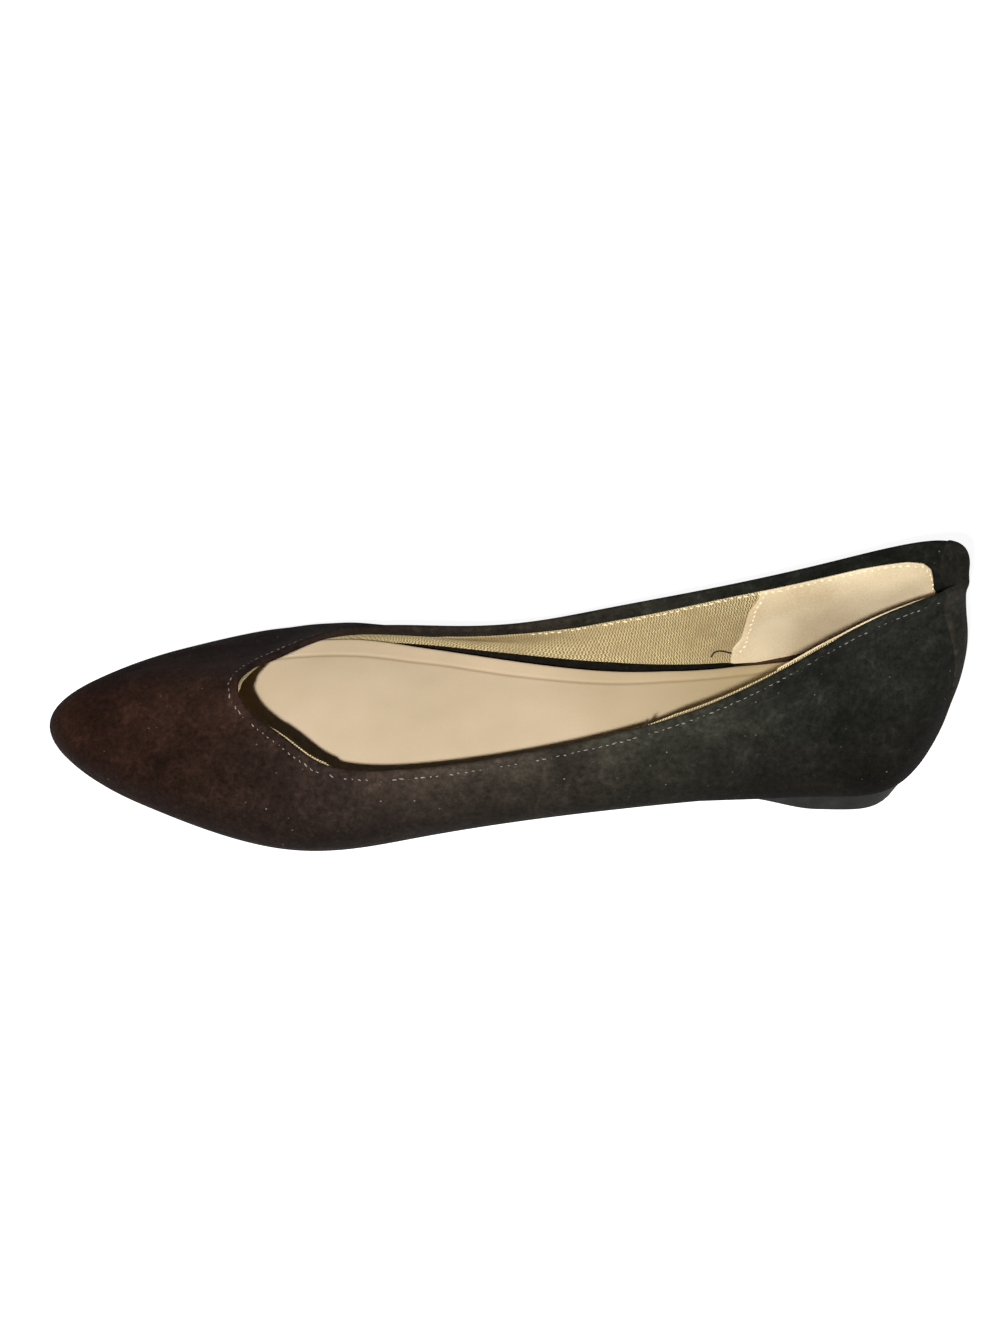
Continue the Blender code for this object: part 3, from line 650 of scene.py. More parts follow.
def black_suede(name, tones, low_tone, lint):
    """Split leather with a raised nap: its fibres trap the light, so it has almost no glint. It is
    cloudy where the nap lies this way and that, and a little light lint sticks to it."""
    material, tree, shader = new_material(name, 0.95, ior=1.4, glint=0.05, sheen=0.008)
    place = add_node(tree, "TexCoord", {}).outputs["Object"]
    split = add_node(tree, "SeparateXYZ", {0: place})
    along = add_node(tree, "MapRange", {"Value": split.outputs["X"], "From Min": float(cad_low[0]),
                                        "From Max": float(cad_high[0])})
    dye = colour_ramp(tree, along, tones)
    # Browner low down in patches; and painted shade, darker low down and on the inner side, away from
    # the lamp
    brushed = add_node(tree, "TexNoise", {"Vector": place, "Scale": 60.0, "Detail": 5.0,
                                          "Roughness": 0.65})
    lower = add_node(tree, "MapRange", {"Value": split.outputs["Z"], "From Min": 36 * MM,
                                        "From Max": 12 * MM})
    warm = add_node(tree, "Math", {0: lower, 1: brushed}, operation="MULTIPLY")
    inner = add_node(tree, "MapRange", {"Value": split.outputs["Y"], "From Min": 0.0,
                                        "From Max": 24 * MM, "To Min": 1.0, "To Max": 0.72})
    low_shade = add_node(tree, "MapRange", {"Value": split.outputs["Z"], "From Min": 36 * MM,
                                         "From Max": 12 * MM, "To Min": 1.0, "To Max": 0.43})
    # lie: the two painted shades together, which darken the suede's tone
    lie = add_node(tree, "Math", {0: inner, 1: low_shade}, operation="MULTIPLY")
    dyed = add_node(tree, "Mix", {0: warm, 6: dye, 7: linear(low_tone)}, data_type="RGBA")
    # Cloudy where the nap is brushed this way and that, grainy close up, and rubbed in places
    nap = add_node(tree, "TexNoise", {"Vector": place, "Scale": 650.0, "Detail": 5.0,
                                      "Roughness": 0.75})
    cloudy = add_node(tree, "MapRange", {"Value": brushed, "From Min": 0.32, "From Max": 0.68,
                                         "To Min": 0.58, "To Max": 1.45})
    grainy = add_node(tree, "MapRange", {"Value": nap, "From Min": 0.3, "From Max": 0.75,
                                         "To Min": 0.5, "To Max": 1.7})
    shade = add_node(tree, "Math", {0: cloudy, 1: grainy}, operation="MULTIPLY")
    rubbed = add_node(tree, "TexNoise", {"Vector": place, "Scale": 170.0, "Detail": 6.0,
                                         "Roughness": 0.75, "Distortion": 0.8})
    scuffed = add_node(tree, "MapRange", {"Value": rubbed, "From Min": 0.5, "From Max": 0.7,
                                          "To Min": 0.9, "To Max": 1.6})
    worn = add_node(tree, "Math", {0: shade, 1: scuffed}, operation="MULTIPLY")
    # The painted shade laid over the worn tone
    laid = add_node(tree, "Math", {0: worn, 1: lie}, operation="MULTIPLY")
    shaded = add_node(tree, "VectorMath", {0: dyed, 3: laid}, operation="SCALE")
    # Specks of lint
    cells = add_node(tree, "TexVoronoi", {"Vector": place, "Scale": 330.0})
    near = add_node(tree, "MapRange", {"Value": cells.outputs["Distance"], "From Min": 0.10,
                                       "From Max": 0.04})
    pick = add_node(tree, "SeparateColor", {0: cells.outputs["Color"]})
    patchy = add_node(tree, "Math", {0: brushed, 1: 0.9, 2: 0.55 - lint}, operation="MULTIPLY_ADD")
    rare = add_node(tree, "Math", {0: pick.outputs["Red"], 1: patchy}, operation="GREATER_THAN")
    speck = add_node(tree, "Math", {0: near, 1: rare}, operation="MULTIPLY")
    faint = add_node(tree, "Math", {0: speck, 1: pick.outputs["Green"]}, operation="MULTIPLY")
    dusted = add_node(tree, "Mix", {0: faint, 6: shaded, 7: linear("#625d56")}, data_type="RGBA")
    pile = add_node(tree, "Math", {0: brushed, 1: 2.0, 2: nap}, operation="MULTIPLY_ADD")
    finish_surface(tree, shader, dusted, pile, 0.6, 0.4 * MM)
    return material


# Its colour along the shoe, from the toe: reddish brown in front, greenish black behind
SUEDE_TONES = ((0.0, "#2b160e"), (0.2, "#2a1b15"), (0.33, "#322823"), (0.45, "#38312a"),
               (0.62, "#2a2922"), (0.8, "#191a16"), (1.0, "#161713"))
suede = black_suede("black_suede", SUEDE_TONES, "#1a1410", 0.45)
upper = add_loops("suede_upper", suede_loops(all_round), suede, "black_suede", ring=True)
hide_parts("upper")


# The stitches along the topline
# One row of lockstitch holds suede, fold and lining together: its grey thread shows outside, sunk
# in the nap, and its cream thread inside, just below the lining's edge.

PITCH = 1.9 * MM           # from one stitch to the next
STITCH = 1.35 * MM         # length that shows
GREY_THREAD = 0.2 * MM     # radius
CREAM_THREAD = 0.22 * MM
CREAM_ROW = (0.735, 0.975)  # the inside row that shows, shares of the way round
GRIP_ROW = (0.92, 0.25)     # the grip's rows, shares up the wall
STITCH_SIDES = 8
# Along half a stitch, its thickness there and how far it dips into the cloth, as shares
STITCH_SHAPE = ((-1.0, 0.15, -0.9), (-0.8, 0.75, -0.2), (-0.3, 1.0, 0.0), (0.3, 1.0, 0.0),
                (0.8, 0.75, -0.2), (1.0, 0.15, -0.9))


def stitch_row(line, above, radius):
    """Closed small stitches along a line, no two quite alike; above is the line lifted off."""
    normal = unit(above - line)
    gone = np.concatenate([[0], np.cumsum(np.linalg.norm(np.diff(line, axis=0), axis=1))])
    count = int(gone[-1] / PITCH)
    turn = np.linspace(0, 2 * math.pi, STITCH_SIDES, endpoint=False)

    def read(place, values):
        return np.array([np.interp(place, gone, values[:, k]) for k in range(3)])

    points, faces = [], []
    for n in range(count):
        middle = (n + 0.5 + chance.uniform(-0.08, 0.08)) * gone[-1] / count
        half = STITCH / 2 * chance.uniform(0.5, 1.15)
        size = radius * chance.uniform(0.7, 1.1)
        astray = radius * chance.uniform(-0.9, 0.9)
        wave = 0.15 * math.sin(0.31 * n) + 0.15 * math.sin(0.83 * n)
        sink = (chance.uniform(-0.75, 0.35) + wave) * radius
        slant = chance.uniform(-0.25, 0.6)
        start = len(points)
        for along, swell, lift in STITCH_SHAPE:
            place = middle + along * half
            centre, up = read(place, line), unit(read(place, normal))
            side = unit(np.cross(unit(read(place + NEAR, line) - centre), up))
            centre = centre + up * (lift * size - sink) + side * (along * half * slant + astray)
            points += [centre + (side * math.cos(a) * 1.15 + up * math.sin(a)) * size * swell
                       for a in turn]
        for face in loop_faces(len(STITCH_SHAPE), STITCH_SIDES, False):
            faces.append(tuple(start + k for k in face))
    return points, faces


def row_at_depth(at, depth, out, lift=MM):
    """A line at a depth below the topline, and the same line lifted off the surface."""
    depth, out = (np.reshape(v, (-1, 1)) * np.ones((len(at), 1)) for v in (depth, out))
    return [at_depth(at, depth, o)[:, 0] for o in (out, out + lift)]


def thread_material(name, colour):
    """Spun polyester thread: matte, with a slight sheen along its twist."""
    material, tree, shader = new_material(name, 0.6, glint=0.3)
    place = add_node(tree, "TexCoord", {}).outputs["Object"]
    twist = add_node(tree, "TexNoise", {"Vector": place, "Scale": 2500.0, "Detail": 1.0})
    tone = add_node(tree, "Mix", {0: twist, 6: linear(colour[0]), 7: linear(colour[1])},
                    data_type="RGBA")
    finish_surface(tree, shader, tone)
    return material


STRIP_HALF = 12.5 * MM     # half the back strip's width; the rows stop there
STRIP_MIDDLE = 1.0 * MM
chance = np.random.default_rng(11)
grey_thread = thread_material("grey_polyester_thread", ("#3a3731", "#8a8478"))
cream_thread = thread_material("cream_polyester_thread", ("#cdb98a", "#f7ecc9"))
outer_row = np.linspace(STRIP_MIDDLE + STRIP_HALF + MM, GIRTH + STRIP_MIDDLE - STRIP_HALF - MM, 700)
line = row_at_depth(outer_row, STITCH_DEPTH, -STITCH_DIP)
add_piece("edge_stitches", *stitch_row(*line, GREY_THREAD), grey_thread, "black_suede")
inner_row = np.linspace(*CREAM_ROW, 250) * GIRTH
on_grip = smooth_step(inner_row, GIRTH - GRIP_REACH - MM, GIRTH - GRIP_REACH + MM)
inner_face = LINING_FACE + (GRIP_FACE - LINING_FACE) * on_grip
line = row_at_depth(inner_row, read_round(LINING_EDGE, inner_row) + 0.7 * MM, inner_face, -MM)
add_piece("lining_stitches", *stitch_row(*line, CREAM_THREAD), cream_thread, "beige_microfibre")
share = np.linspace(*GRIP_ROW, 60)
reach = grip_reach(1 - share) - 1.6 * MM
for side, turn in (("inner", -1), ("outer", 1)):
    line = [wall(turn * reach, share[:, None], np.full((len(share), 1), out))[:, 0]
            for out in (GRIP_FACE, GRIP_FACE - MM)]
    add_piece("grip_stitches_" + side, *stitch_row(*line, CREAM_THREAD), cream_thread,
              "beige_microfibre")


def thread_end(line, radius):
    """Loops round a loose end of thread."""
    along = unit(np.gradient(line, axis=0))
    side = unit(np.cross(along, UP))
    turn = np.linspace(0, 2 * math.pi, STITCH_SIDES, endpoint=False)[:, None]
    radius = np.broadcast_to(radius, (len(line), 1))
    return np.array([point + r * (s * np.cos(turn) + np.cross(s, a) * np.sin(turn))
                     for point, r, s, a in zip(line, radius, side, along)])


# A dark end lies curled on the lining: share of the way round, share up the wall
CURLED_END = ((0.8570, 0.235), (0.8585, 0.285), (0.8615, 0.300), (0.8650, 0.285), (0.8685, 0.262))
# A few frayed ends stand on the outer rim: share of the way round, lean, height in mm
FRAYED_ENDS = ((0.2085, 0.0012, 2.0), (0.2100, -0.0004, 2.8), (0.2115, -0.0010, 2.4),
               (0.2130, 0.0012, 1.6))
brown_thread = thread_material("brown_thread_end", ("#120a05", "#1e120a"))
curl = natural_spline(np.arange(5), CURLED_END, np.linspace(0, 4, 24))
line = wall(curl[:, 0] * GIRTH, curl[:, 1:], np.full((len(curl), 1), LINING_FACE - 0.4 * MM))[:, 0]
add_loops("loose_thread", thread_end(line, 0.24 * MM), brown_thread, "beige_microfibre")
for n, (place, lean, height) in enumerate(FRAYED_ENDS):
    up = np.linspace(-0.5, height, 9)[:, None]
    line = at_depth((place + lean * up[:, 0]) * GIRTH, -up * MM, np.full(up.shape, -MM))[:, 0]
    loops = thread_end(line, 0.3 * MM * np.linspace(1, 0.3, len(line))[:, None])
    add_loops("frayed_end_%d" % (n + 1), loops, brown_thread, "beige_microfibre")


# The back strip
# A suede strip sewn over the seam at the back. It runs up the outside, over the collar and a short
# way down inside, where it holds the lining's end.

STRIP = 0.8 * MM           # thickness
STRIP_BASE = -0.15 * MM    # it is pressed into the upper's outer face
STRIP_FLARE = 0.9 * MM     # the folded top stands out towards the inner side
STRIP_FLARE_DEPTH = 20 * MM
STRIP_FOOT = 1 * MM        # lower end, above the feather edge, pared thin
STRIP_FOLD = 13 * MM       # depth inside the collar, at the middle of its rounded end
STRIP_ROUND = 0.8 * MM     # soft long edges
STRIP_SKIVED = 0.45        # share of its thickness left where it is folded over
STRIP_ACROSS = 27


def strip_loops():
    """Loops across the strip, from its foot up the outside, over the rim and down inside."""
    half = np.linspace(-1, 1, STRIP_ACROSS)
    half = np.sign(half) * (1 - (1 - np.abs(half)) ** 1.5)
    across = half * STRIP_HALF
    from_edge = np.clip((STRIP_HALF - np.abs(across)) / STRIP_ROUND, 0, 1)
    thick = STRIP * (0.25 + 0.75 * np.sqrt(1 - (1 - from_edge) ** 2))
    height = ribs([0.0])["length"][0]
    round_end = np.sqrt(1 - (0.96 * half) ** 4)
    flare = (STRIP_FLARE * smooth_step(across, -STRIP_HALF, -6 * MM)
             * (1 - smooth_step(across, -5 * MM, 3 * MM)))
    loops = []

    def places(depth):
        two = at_depth(np.array([-NEAR, NEAR]), np.full((2, 1), depth), np.zeros((2, 1)))[:, 0]
        return STRIP_MIDDLE + across * 2 * NEAR / np.linalg.norm(two[1] - two[0])

    def add_loop(base, up, thickness):
        loops.append(np.concatenate([base + up * thickness[:, None], base[::-1]]))

    for depth in np.linspace(height - STRIP_FOOT, RIM_ROUND, 60):
        at = places(depth)
        depths = np.full((STRIP_ACROSS, 1), depth)
        low, high = row_at_depth(at, depth, relief(at, share_at(at, depths), depths))
        up = unit(high - low)
        stands = flare * (1 - smooth_step(depth, STRIP_FLARE_DEPTH / 3, STRIP_FLARE_DEPTH))
        pared = 0.2 + 0.8 * smooth_step(height - depth, STRIP_FOOT, 22 * MM)
        add_loop(low + up * (STRIP_BASE + stands)[:, None], up, thick * pared)
    rib = ribs(places(0.0))
    middle = rib["top"] - (rib["rim_out"] + rib["top_up"]) * RIM_ROUND
    for t in np.linspace(0, math.pi, 15)[1:-1]:
        up = rib["rim_out"] * math.cos(t) + rib["top_up"] * math.sin(t)
        stands = flare * max(math.cos(t), 0) ** 2
        skived = STRIP_SKIVED + (1 - STRIP_SKIVED) * max(math.cos(t), 0) ** 2
        add_loop(middle + up * (RIM_ROUND + STRIP_BASE + stands)[:, None], up, thick * skived)
    for down in np.linspace(0, 1, 16):
        depth = RIM_ROUND + (STRIP_FOLD * round_end - RIM_ROUND) * down
        low, high = row_at_depth(places(RIM_ROUND), depth, 0)
        up = unit(low - high)
        inside = WALL + STRIP_BASE + 0.5 * MM * smooth_step(depth, RIM_ROUND, 3.5 * MM)
        thin = STRIP_SKIVED * (1 - 0.6 * smooth_step(down, 0.8, 1))
        add_loop(low + up * inside[:, None], up, thick * thin)
    return np.array(loops)


STRIP_TONES = ((0.0, "#211f1a"), (0.97, "#211f1a"), (1.0, "#23201b"))
strip_suede = black_suede("black_suede_strip", STRIP_TONES, "#3a332b", 0.45)
strip = add_loops("suede_back_strip", strip_loops(), strip_suede, "black_suede")
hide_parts("back_strip")


# The lasting board
# Brown fibre board under the foot, which the upper is turned round and glued to. It keeps its
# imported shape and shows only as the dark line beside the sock.

def fibre_board():
    """Pressed cellulose: matte, brown, with short fibres in it."""
    material, tree, shader = new_material("pressed_fibre_board", 0.9, glint=0.2)
    place = add_node(tree, "TexCoord", {}).outputs["Object"]
    fibres = add_node(tree, "TexNoise", {"Vector": place, "Scale": 1500.0, "Detail": 3.0,
                                         "Distortion": 1.5})
    tone = add_node(tree, "Mix", {0: fibres, 6: linear("#23140b"), 7: linear("#3d2817")},
                    data_type="RGBA")
    finish_surface(tree, shader, tone)
    return material


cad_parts["insole_board"].data.materials[0] = fibre_board()


# The sole
# One moulding of black thermoplastic rubber, glued under the turned-in suede: a thin forepart, an
# arch and a low heel. A thin lip runs round its top, and its underside has cross ribs for grip.

HEEL_LENGTH = 45 * MM
BREAST_RUN = 24 * MM       # its front slopes up over this length
SOLE_INSET = 1.5 * MM      # top of the sole, inside the feather edge
LIP_HEIGHT = 1.2 * MM
LIP_STEP = 0.6 * MM        # the side is set in this much below the lip
SIDE_TAPER = 0.8 * MM      # and this much more at the floor
FLOOR_ROUND = 0.9 * MM     # rounded lower edge
HEEL_PITCH = 6.5 * MM      # the back of the heel slopes in this much towards the floor
PITCH_RUN = 27.5 * MM      # a slope that fades out over this length
TREAD_PITCH = 3.0 * MM     # from one cross rib to the next
TREAD_DEPTH = 0.45 * MM
TREAD_BORDER = 5 * MM      # plain rim beside the ribs
TREAD_FOREPART = (-98 * MM, -18 * MM)  # where the ribs start and end
TREAD_HEEL = (86 * MM, 113 * MM)
SOLE_STATIONS = (14, 360)  # places round each end and along the sides
TOP_ROWS = 3
TREAD_ROWS = 13


def stations(end, middle):
    """Places round the feather edge, in pairs that lie across from each other."""
    dense = np.linspace(0, GIRTH, 4000, endpoint=False)
    x = rows_at(dense)[:, 0]
    back = dense[x.argmax()]
    x = np.append(np.roll(x, -x.argmax()), x.max())
    gone = np.linspace(0, GIRTH, 4001)
    tip = x.argmin()
    inset = 22 * MM
    rounding = 1 - np.cos(np.linspace(0, math.pi / 2, end, endpoint=False)[1:])
    places = np.concatenate([x[0] - inset * rounding, np.linspace(x[0] - inset, x[tip] + inset, middle),
                             x[tip] + inset * rounding])
    places = -np.sort(-places)
    outer = np.interp(-places, -x[:tip + 1], gone[:tip + 1])
    inner = np.interp(places, x[tip:], gone[tip:])[::-1]
    return back + np.concatenate([[0.0], outer, [gone[tip]], inner])


def ring(rib, inset, height):
    """Points round the shoe, inside the feather edge, at heights that follow from x."""
    points = rib["feather"] - rib["out"] * np.reshape(inset, (-1, 1))
    points[:, 2] = height(points[:, 0])
    return points


def underside(x):
    """Height of the sole's lower face: flat heel, slope, arch, flat ball and toe spring."""
    breast = smooth_step(0.5 * LAST_LENGTH - HEEL_LENGTH - x, 0, BREAST_RUN)
    return breast * np.clip(seat_height(x) - GAP - SOLE_THICKNESS, 0, None)


def tread(x, from_side):
    """Depth of the cross ribs at a place, none near the sole's edge or under the arch."""
    zone = sum(smooth_step(x, a, a + 2 * MM) * (1 - smooth_step(x, b - 2 * MM, b))
               for a, b in (TREAD_FOREPART, TREAD_HEEL))
    wave = 0.5 - 0.5 * np.cos(2 * math.pi * x / TREAD_PITCH)
    return TREAD_DEPTH * zone * wave ** 0.6 * smooth_step(from_side, TREAD_BORDER - MM, TREAD_BORDER)


def sole_rings(at):
    """Rings down the sole: the edge of its top, the lip, the side and the round at the floor."""
    rib = ribs(at)
    from_back = rib["foot"][:, 0].max() - rib["foot"][:, 0]
    foot = (SOLE_INSET + LIP_STEP + SIDE_TAPER
            + HEEL_PITCH * np.clip(1 - from_back / PITCH_RUN, 0, 1) ** 2)

    def below_top(inset, drop):
        return ring(rib, inset, lambda x: seat_height(x) - GAP - drop)

    def over_floor(inset, rise):
        return ring(rib, inset, lambda x: underside(x) + rise)

    rings = [below_top(SOLE_INSET + 1.0 * MM, 0), below_top(SOLE_INSET + 0.2 * MM, 0)]
    rings += [below_top(SOLE_INSET, drop * MM) for drop in (0.2, 0.6, 1.0)]
    rings += [below_top(SOLE_INSET + 0.2 * MM, LIP_HEIGHT),
              below_top(SOLE_INSET + LIP_STEP, LIP_HEIGHT + 0.15 * MM)]
    high = below_top(SOLE_INSET + LIP_STEP, LIP_HEIGHT + 0.5 * MM)
    low = over_floor(foot, FLOOR_ROUND)
    rings += [high + (low - high) * share for share in (0, 0.33, 0.67, 1)]
    rings += [over_floor(foot + FLOOR_ROUND * (1 - math.cos(angle)), FLOOR_ROUND * (1 - math.sin(angle)))
              for angle in np.radians((25, 50, 75))]
    return rings + [over_floor(foot + FLOOR_ROUND, 0)]


def points_across(a, b, with_tread):
    """Points from one side of a ring to the other; on the underside they follow the tread."""
    width = np.linalg.norm(b - a)
    share = np.linspace(0, 1, TOP_ROWS + 2)[1:-1]
    if with_tread:
        near = np.array([0.8 * MM, TREAD_BORDER - MM, TREAD_BORDER])
        near = near * min(1, width / (30 * MM)) / width
        middle = np.linspace(near[-1], 1 - near[-1], TREAD_ROWS + 2)[1:-1]
        share = np.concatenate([near, middle, 1 - near[::-1]])
    points = a + (b - a) * share[:, None]
    if with_tread:
        from_side = width * np.minimum(share, 1 - share)
        points[:, 2] = underside(points[:, 0]) + tread(points[:, 0], from_side)
    return points


def sole_mesh(at):
    """The rings joined into the sole's side, with its top and underside filled across."""
    rings = sole_rings(at)
    count, half = len(at), len(at) // 2
    points = np.concatenate(rings)
    faces = loop_faces(len(rings), count, False)[:-2]
    for start, with_tread in ((0, False), ((len(rings) - 1) * count, True)):
        rows = []
        for i in range(1, half):
            made = points_across(points[start + i], points[start + count - i], with_tread)
            new = range(len(points), len(points) + len(made))
            rows.append([start + i, *new, start + count - i])
            points = np.concatenate([points, made])
        added = [(one[k], one[k + 1], two[k + 1], two[k])
                 for one, two in zip(rows, rows[1:]) for k in range(len(one) - 1)]
        added += [tuple(rows[0] + [start]), tuple(rows[-1][::-1] + [start + half])]
        faces += added if with_tread else [face[::-1] for face in added]
    return points, faces


def moulded_rubber():
    """Thermoplastic rubber from a spark-eroded mould: satin, very fine even grain, dusty grey-black."""
    material, tree, shader = new_material("moulded_thermoplastic_rubber", 0.7, glint=0.12)
    place = add_node(tree, "TexCoord", {}).outputs["Object"]
    grain = add_node(tree, "TexNoise", {"Vector": place, "Scale": 2200.0, "Detail": 2.0})
    dust = add_node(tree, "TexNoise", {"Vector": place, "Scale": 180.0, "Detail": 5.0,
                                       "Roughness": 0.7})
    settle = add_node(tree, "MapRange", {"Value": dust, "From Min": 0.4, "From Max": 0.75})
    tone = add_node(tree, "Mix", {0: settle, 6: linear("#0f0f0d"), 7: linear("#20201c")},
                    data_type="RGBA")
    finish_surface(tree, shader, tone, grain, 0.4, 0.1 * MM)
    return material


sole = add_piece("rubber_sole", *sole_mesh(stations(*SOLE_STATIONS)), moulded_rubber(),
                 "black_rubber", 40)
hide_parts("outsole")


# The padded sock
# Foam under beige microfibre, glued on the board. A pressed line runs round it near the edge, and
# inside that line the foam is a little fuller.

SOCK_INSET = WALL + GAP + 1.6 * MM   # the sock's edge, inside the feather edge
# And further in than that: share of the way round, millimetres. It is cut back at the inner side of
# the heel, and reaches further out beside the throat.
SOCK_SHORT = (
    (0.0, 0.0), (0.575, 0.0), (0.60, -1.0), (0.665, -1.0), (0.70, 0.0), (0.83, 0.0), (0.855, 0.9),
    (0.87, 1.3), (0.885, 2.3), (0.90, 3.3), (0.94, 3.0), (0.985, 0.0), (1.0, 0.0),
)
SOCK_BOTTOM = WALL + 1.5 * MM + 2 * GAP
SOCK_THICK = 3.0 * MM
SOCK_EDGE = 1.2 * MM       # rounded upper edge
# Pressed line: share along from the back, millimetres from the edge
PRESSED_LINE = (
    (0.0, 3.6), (0.2, 3.7), (0.28, 4.0), (0.39, 5.2), (0.5, 6.0), (0.56, 5.9), (0.61, 6.5),
    (0.67, 7.1), (0.715, 6.7), (0.8, 5.4), (1.0, 5.0),
)
LINE_HALF = 0.5 * MM       # half its width
LINE_DEPTH = 0.22 * MM
FULLER = 0.3 * MM          # the foam inside it stands up this much more
SOCK_STATIONS = (24, 300)
# Rows of points in from the edge, close together where the line may lie
SOCK_ROWS = np.array([0, 0.15, 0.4, 0.8, 1.2, 2.2, 2.8, 3.2, 3.6, 4.0, 4.4, 4.8, 5.2, 5.6, 6.0, 6.4,
                      6.8, 7.2, 7.6, 8.0, 8.6]) * MM


def pressed(x, from_edge):
    """How fully a place lies in the pressed line, and how far in from the line's middle."""
    line = np.interp(np.clip(0.5 - x / LAST_LENGTH, 0, 1), *np.array(PRESSED_LINE).T) * MM
    return np.exp(-((from_edge - line) / LINE_HALF) ** 2), from_edge - line


def sock_top(x, from_edge):
    """Height of the sock's upper face over its lower one."""
    in_line, beyond = pressed(x, from_edge)
    round_off = SOCK_EDGE - np.clip(from_edge, 0, SOCK_EDGE)
    drop = SOCK_EDGE - np.sqrt(np.clip(SOCK_EDGE ** 2 - round_off ** 2, 0, None))
    return SOCK_THICK - drop - LINE_DEPTH * in_line + FULLER * smooth_step(beyond, 0, 8 * MM)


def sock_loops():
    """Loops across the sock: its upper face from side to side, and its lower face back."""
    at = stations(*SOCK_STATIONS)
    edge = ring(ribs(at), SOCK_INSET + read_round(SOCK_SHORT, at), seat_height)
    half = len(edge) // 2
    loops, line_shade = [], []
    for i in range(1, half):
        a, b = edge[i], edge[-i]
        width = np.linalg.norm(b - a)
        near = SOCK_ROWS * min(1, width / (26 * MM)) / width
        share = np.concatenate([near, np.linspace(near[-1], 1 - near[-1], 12)[1:-1], 1 - near[::-1]])
        across = a + (b - a) * share[:, None]
        away = np.linalg.norm(across[:, None, :2] - edge[None, :, :2], axis=2).min(1)
        away[[0, -1]] = 0.0
        top, bottom = across.copy(), across[::-1].copy()
        top[:, 2] = seat_height(top[:, 0]) + SOCK_BOTTOM + sock_top(top[:, 0], away)
        bottom[:, 2] = seat_height(bottom[:, 0]) + SOCK_BOTTOM
        loops.append(np.concatenate([top, bottom]))
        line_shade.append(np.concatenate([pressed(top[:, 0], away)[0], np.zeros(len(bottom))]))
    return np.array(loops), np.array(line_shade)


loops, line_shade = sock_loops()
# Its last colour is the painted shade, greyer towards the heel
sock_cloth = beige_microfibre("beige_microfibre_sock", "#c2ae92", "#b6a386", 0.35 * MM, "#9d8c6b")
sock = add_loops("padded_sock", loops, sock_cloth, "beige_microfibre")
# Where the pressed line lies, for the painted shade in it
sock_line_shade = sock.data.attributes.new("pressed_line_shade", "FLOAT", "POINT")
sock_line_shade.data.foreach_set("value", line_shade.ravel().astype(np.float32))
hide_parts("insole_sock")


# The floor, the light and the camera
# The shoe stands on a sheet of white opal acrylic lit from below, in a pale room, so that it throws
# next to no shadow on it. A small lamp a little behind the camera gives the short shadow inside the
# rim. The camera stands where the photograph was taken from.

PHOTO = (1000, 1330)
FOCAL = 1608.7             # of the photograph's lens, in its pixels
AXIS = (506.1, 701.0)      # where the lens's axis meets the photograph
CAMERA_TURN = -1.45        # degrees round the shoe
CAMERA_RISE = 49.35
CAMERA_ROLL = -1.0
CAMERA_DISTANCE = 0.45
FLOOR_HALF = 12.0          # half the sheet's width
AIM = CENTRE + UP * 20 * MM


def opal_acrylic():
    """Milk-white sheet that glows evenly, which keeps the floor white and almost without shadow."""
    material, tree, shader = new_material("lit_opal_acrylic", 0.9)
    shader.inputs["Emission Color"].default_value = linear("#ffffff")
    shader.inputs["Emission Strength"].default_value = 0.92
    place = add_node(tree, "TexCoord", {}).outputs["Object"]
    uneven = add_node(tree, "TexNoise", {"Vector": place, "Scale": 3.0, "Detail": 2.0})
    tone = add_node(tree, "Mix", {0: uneven, 6: linear("#98989a"), 7: linear("#a0a0a1")},
                    data_type="RGBA")
    finish_surface(tree, shader, tone)
    return material


def area_light(name, place, aim, size, power):
    """A lamp that isn't seen itself, turned towards a point."""
    light = bpy.data.lights.new(name, "AREA")
    light.shape = "RECTANGLE"
    light.size, light.size_y = size
    light.energy = power
    lamp = bpy.data.objects.new(name, light)
    lamp.location = place
    lamp.rotation_euler = (Vector(place) - Vector(aim)).to_track_quat("Z", "Y").to_euler()
    lamp.visible_camera = False
    bpy.context.scene.collection.objects.link(lamp)


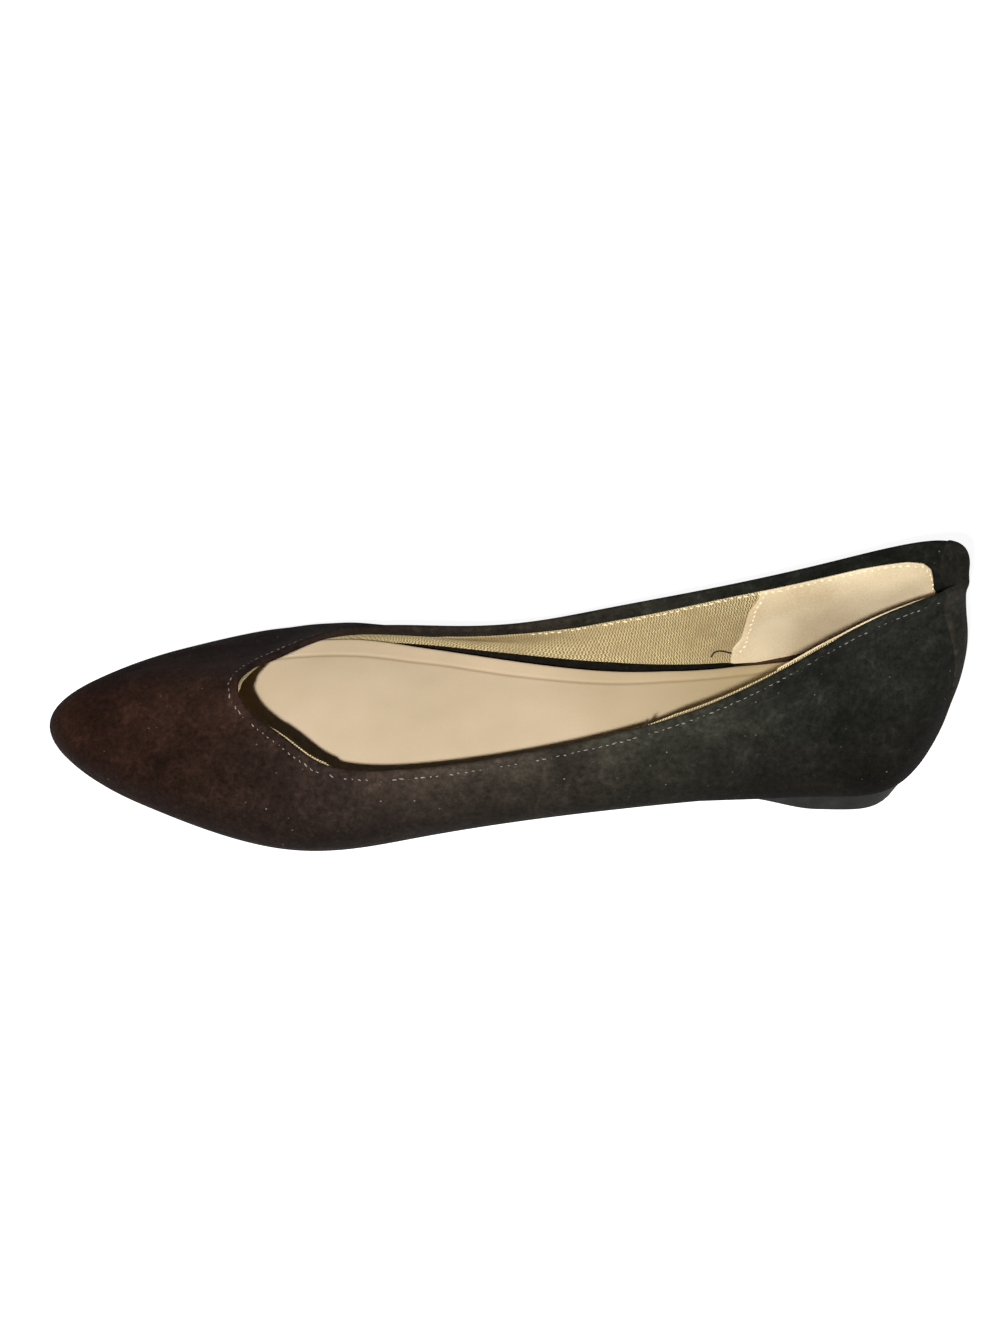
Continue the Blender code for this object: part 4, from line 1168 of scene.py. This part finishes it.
floor_mesh = bpy.data.meshes.new("floor")
floor_mesh.from_pydata([(-FLOOR_HALF, -FLOOR_HALF, 0), (FLOOR_HALF, -FLOOR_HALF, 0),
                        (FLOOR_HALF, FLOOR_HALF, 0), (-FLOOR_HALF, FLOOR_HALF, 0)], [], [(0, 1, 2, 3)])
floor_mesh.materials.append(opal_acrylic())
floor = bpy.data.objects.new("floor", floor_mesh)
bpy.context.scene.collection.objects.link(floor)

area_light("lamp_beside_camera", place=(-0.087, -0.452, 0.479), aim=(0, 0, 0),
           size=(0.022, 0.022), power=7.5)

# The studio's pale walls: bright near the horizon, dark overhead
world = bpy.data.worlds.new("studio")
world.use_nodes = True
background = world.node_tree.nodes["Background"]
toward = add_node(world.node_tree, "TexCoord", {}).outputs["Generated"]
height = add_node(world.node_tree, "SeparateXYZ", {0: toward}).outputs["Z"]
walls = add_node(world.node_tree, "MapRange", {"Value": height, "From Min": 0.1, "From Max": 0.38,
                                               "To Min": 0.92, "To Max": 0.03})
world.node_tree.links.new(walls.outputs["Result"], background.inputs["Color"])
bpy.context.scene.world = world
bpy.context.scene.view_settings.view_transform = "Standard"

turn, rise, roll = (math.radians(a) for a in (CAMERA_TURN, CAMERA_RISE, CAMERA_ROLL))
back = Vector((math.sin(turn) * math.cos(rise), -math.cos(turn) * math.cos(rise), math.sin(rise)))
right = Vector((math.cos(turn), math.sin(turn), 0))
up = back.cross(right)
side = right * math.cos(roll) + up * math.sin(roll)
upright = up * math.cos(roll) - right * math.sin(roll)
lens = bpy.data.cameras.new("camera")
lens.lens = FOCAL * lens.sensor_width / PHOTO[1]
lens.shift_x = (PHOTO[0] / 2 - AXIS[0]) / PHOTO[1]
lens.shift_y = (AXIS[1] - PHOTO[1] / 2) / PHOTO[1]
lens.clip_start = 0.01
camera = bpy.data.objects.new("camera", lens)
camera.matrix_world = Matrix((
    (side.x, upright.x, back.x, AIM[0] + back.x * CAMERA_DISTANCE),
    (side.y, upright.y, back.y, AIM[1] + back.y * CAMERA_DISTANCE),
    (side.z, upright.z, back.z, AIM[2] + back.z * CAMERA_DISTANCE),
    (0, 0, 0, 1),
))
bpy.context.scene.collection.objects.link(camera)
bpy.context.scene.camera = camera
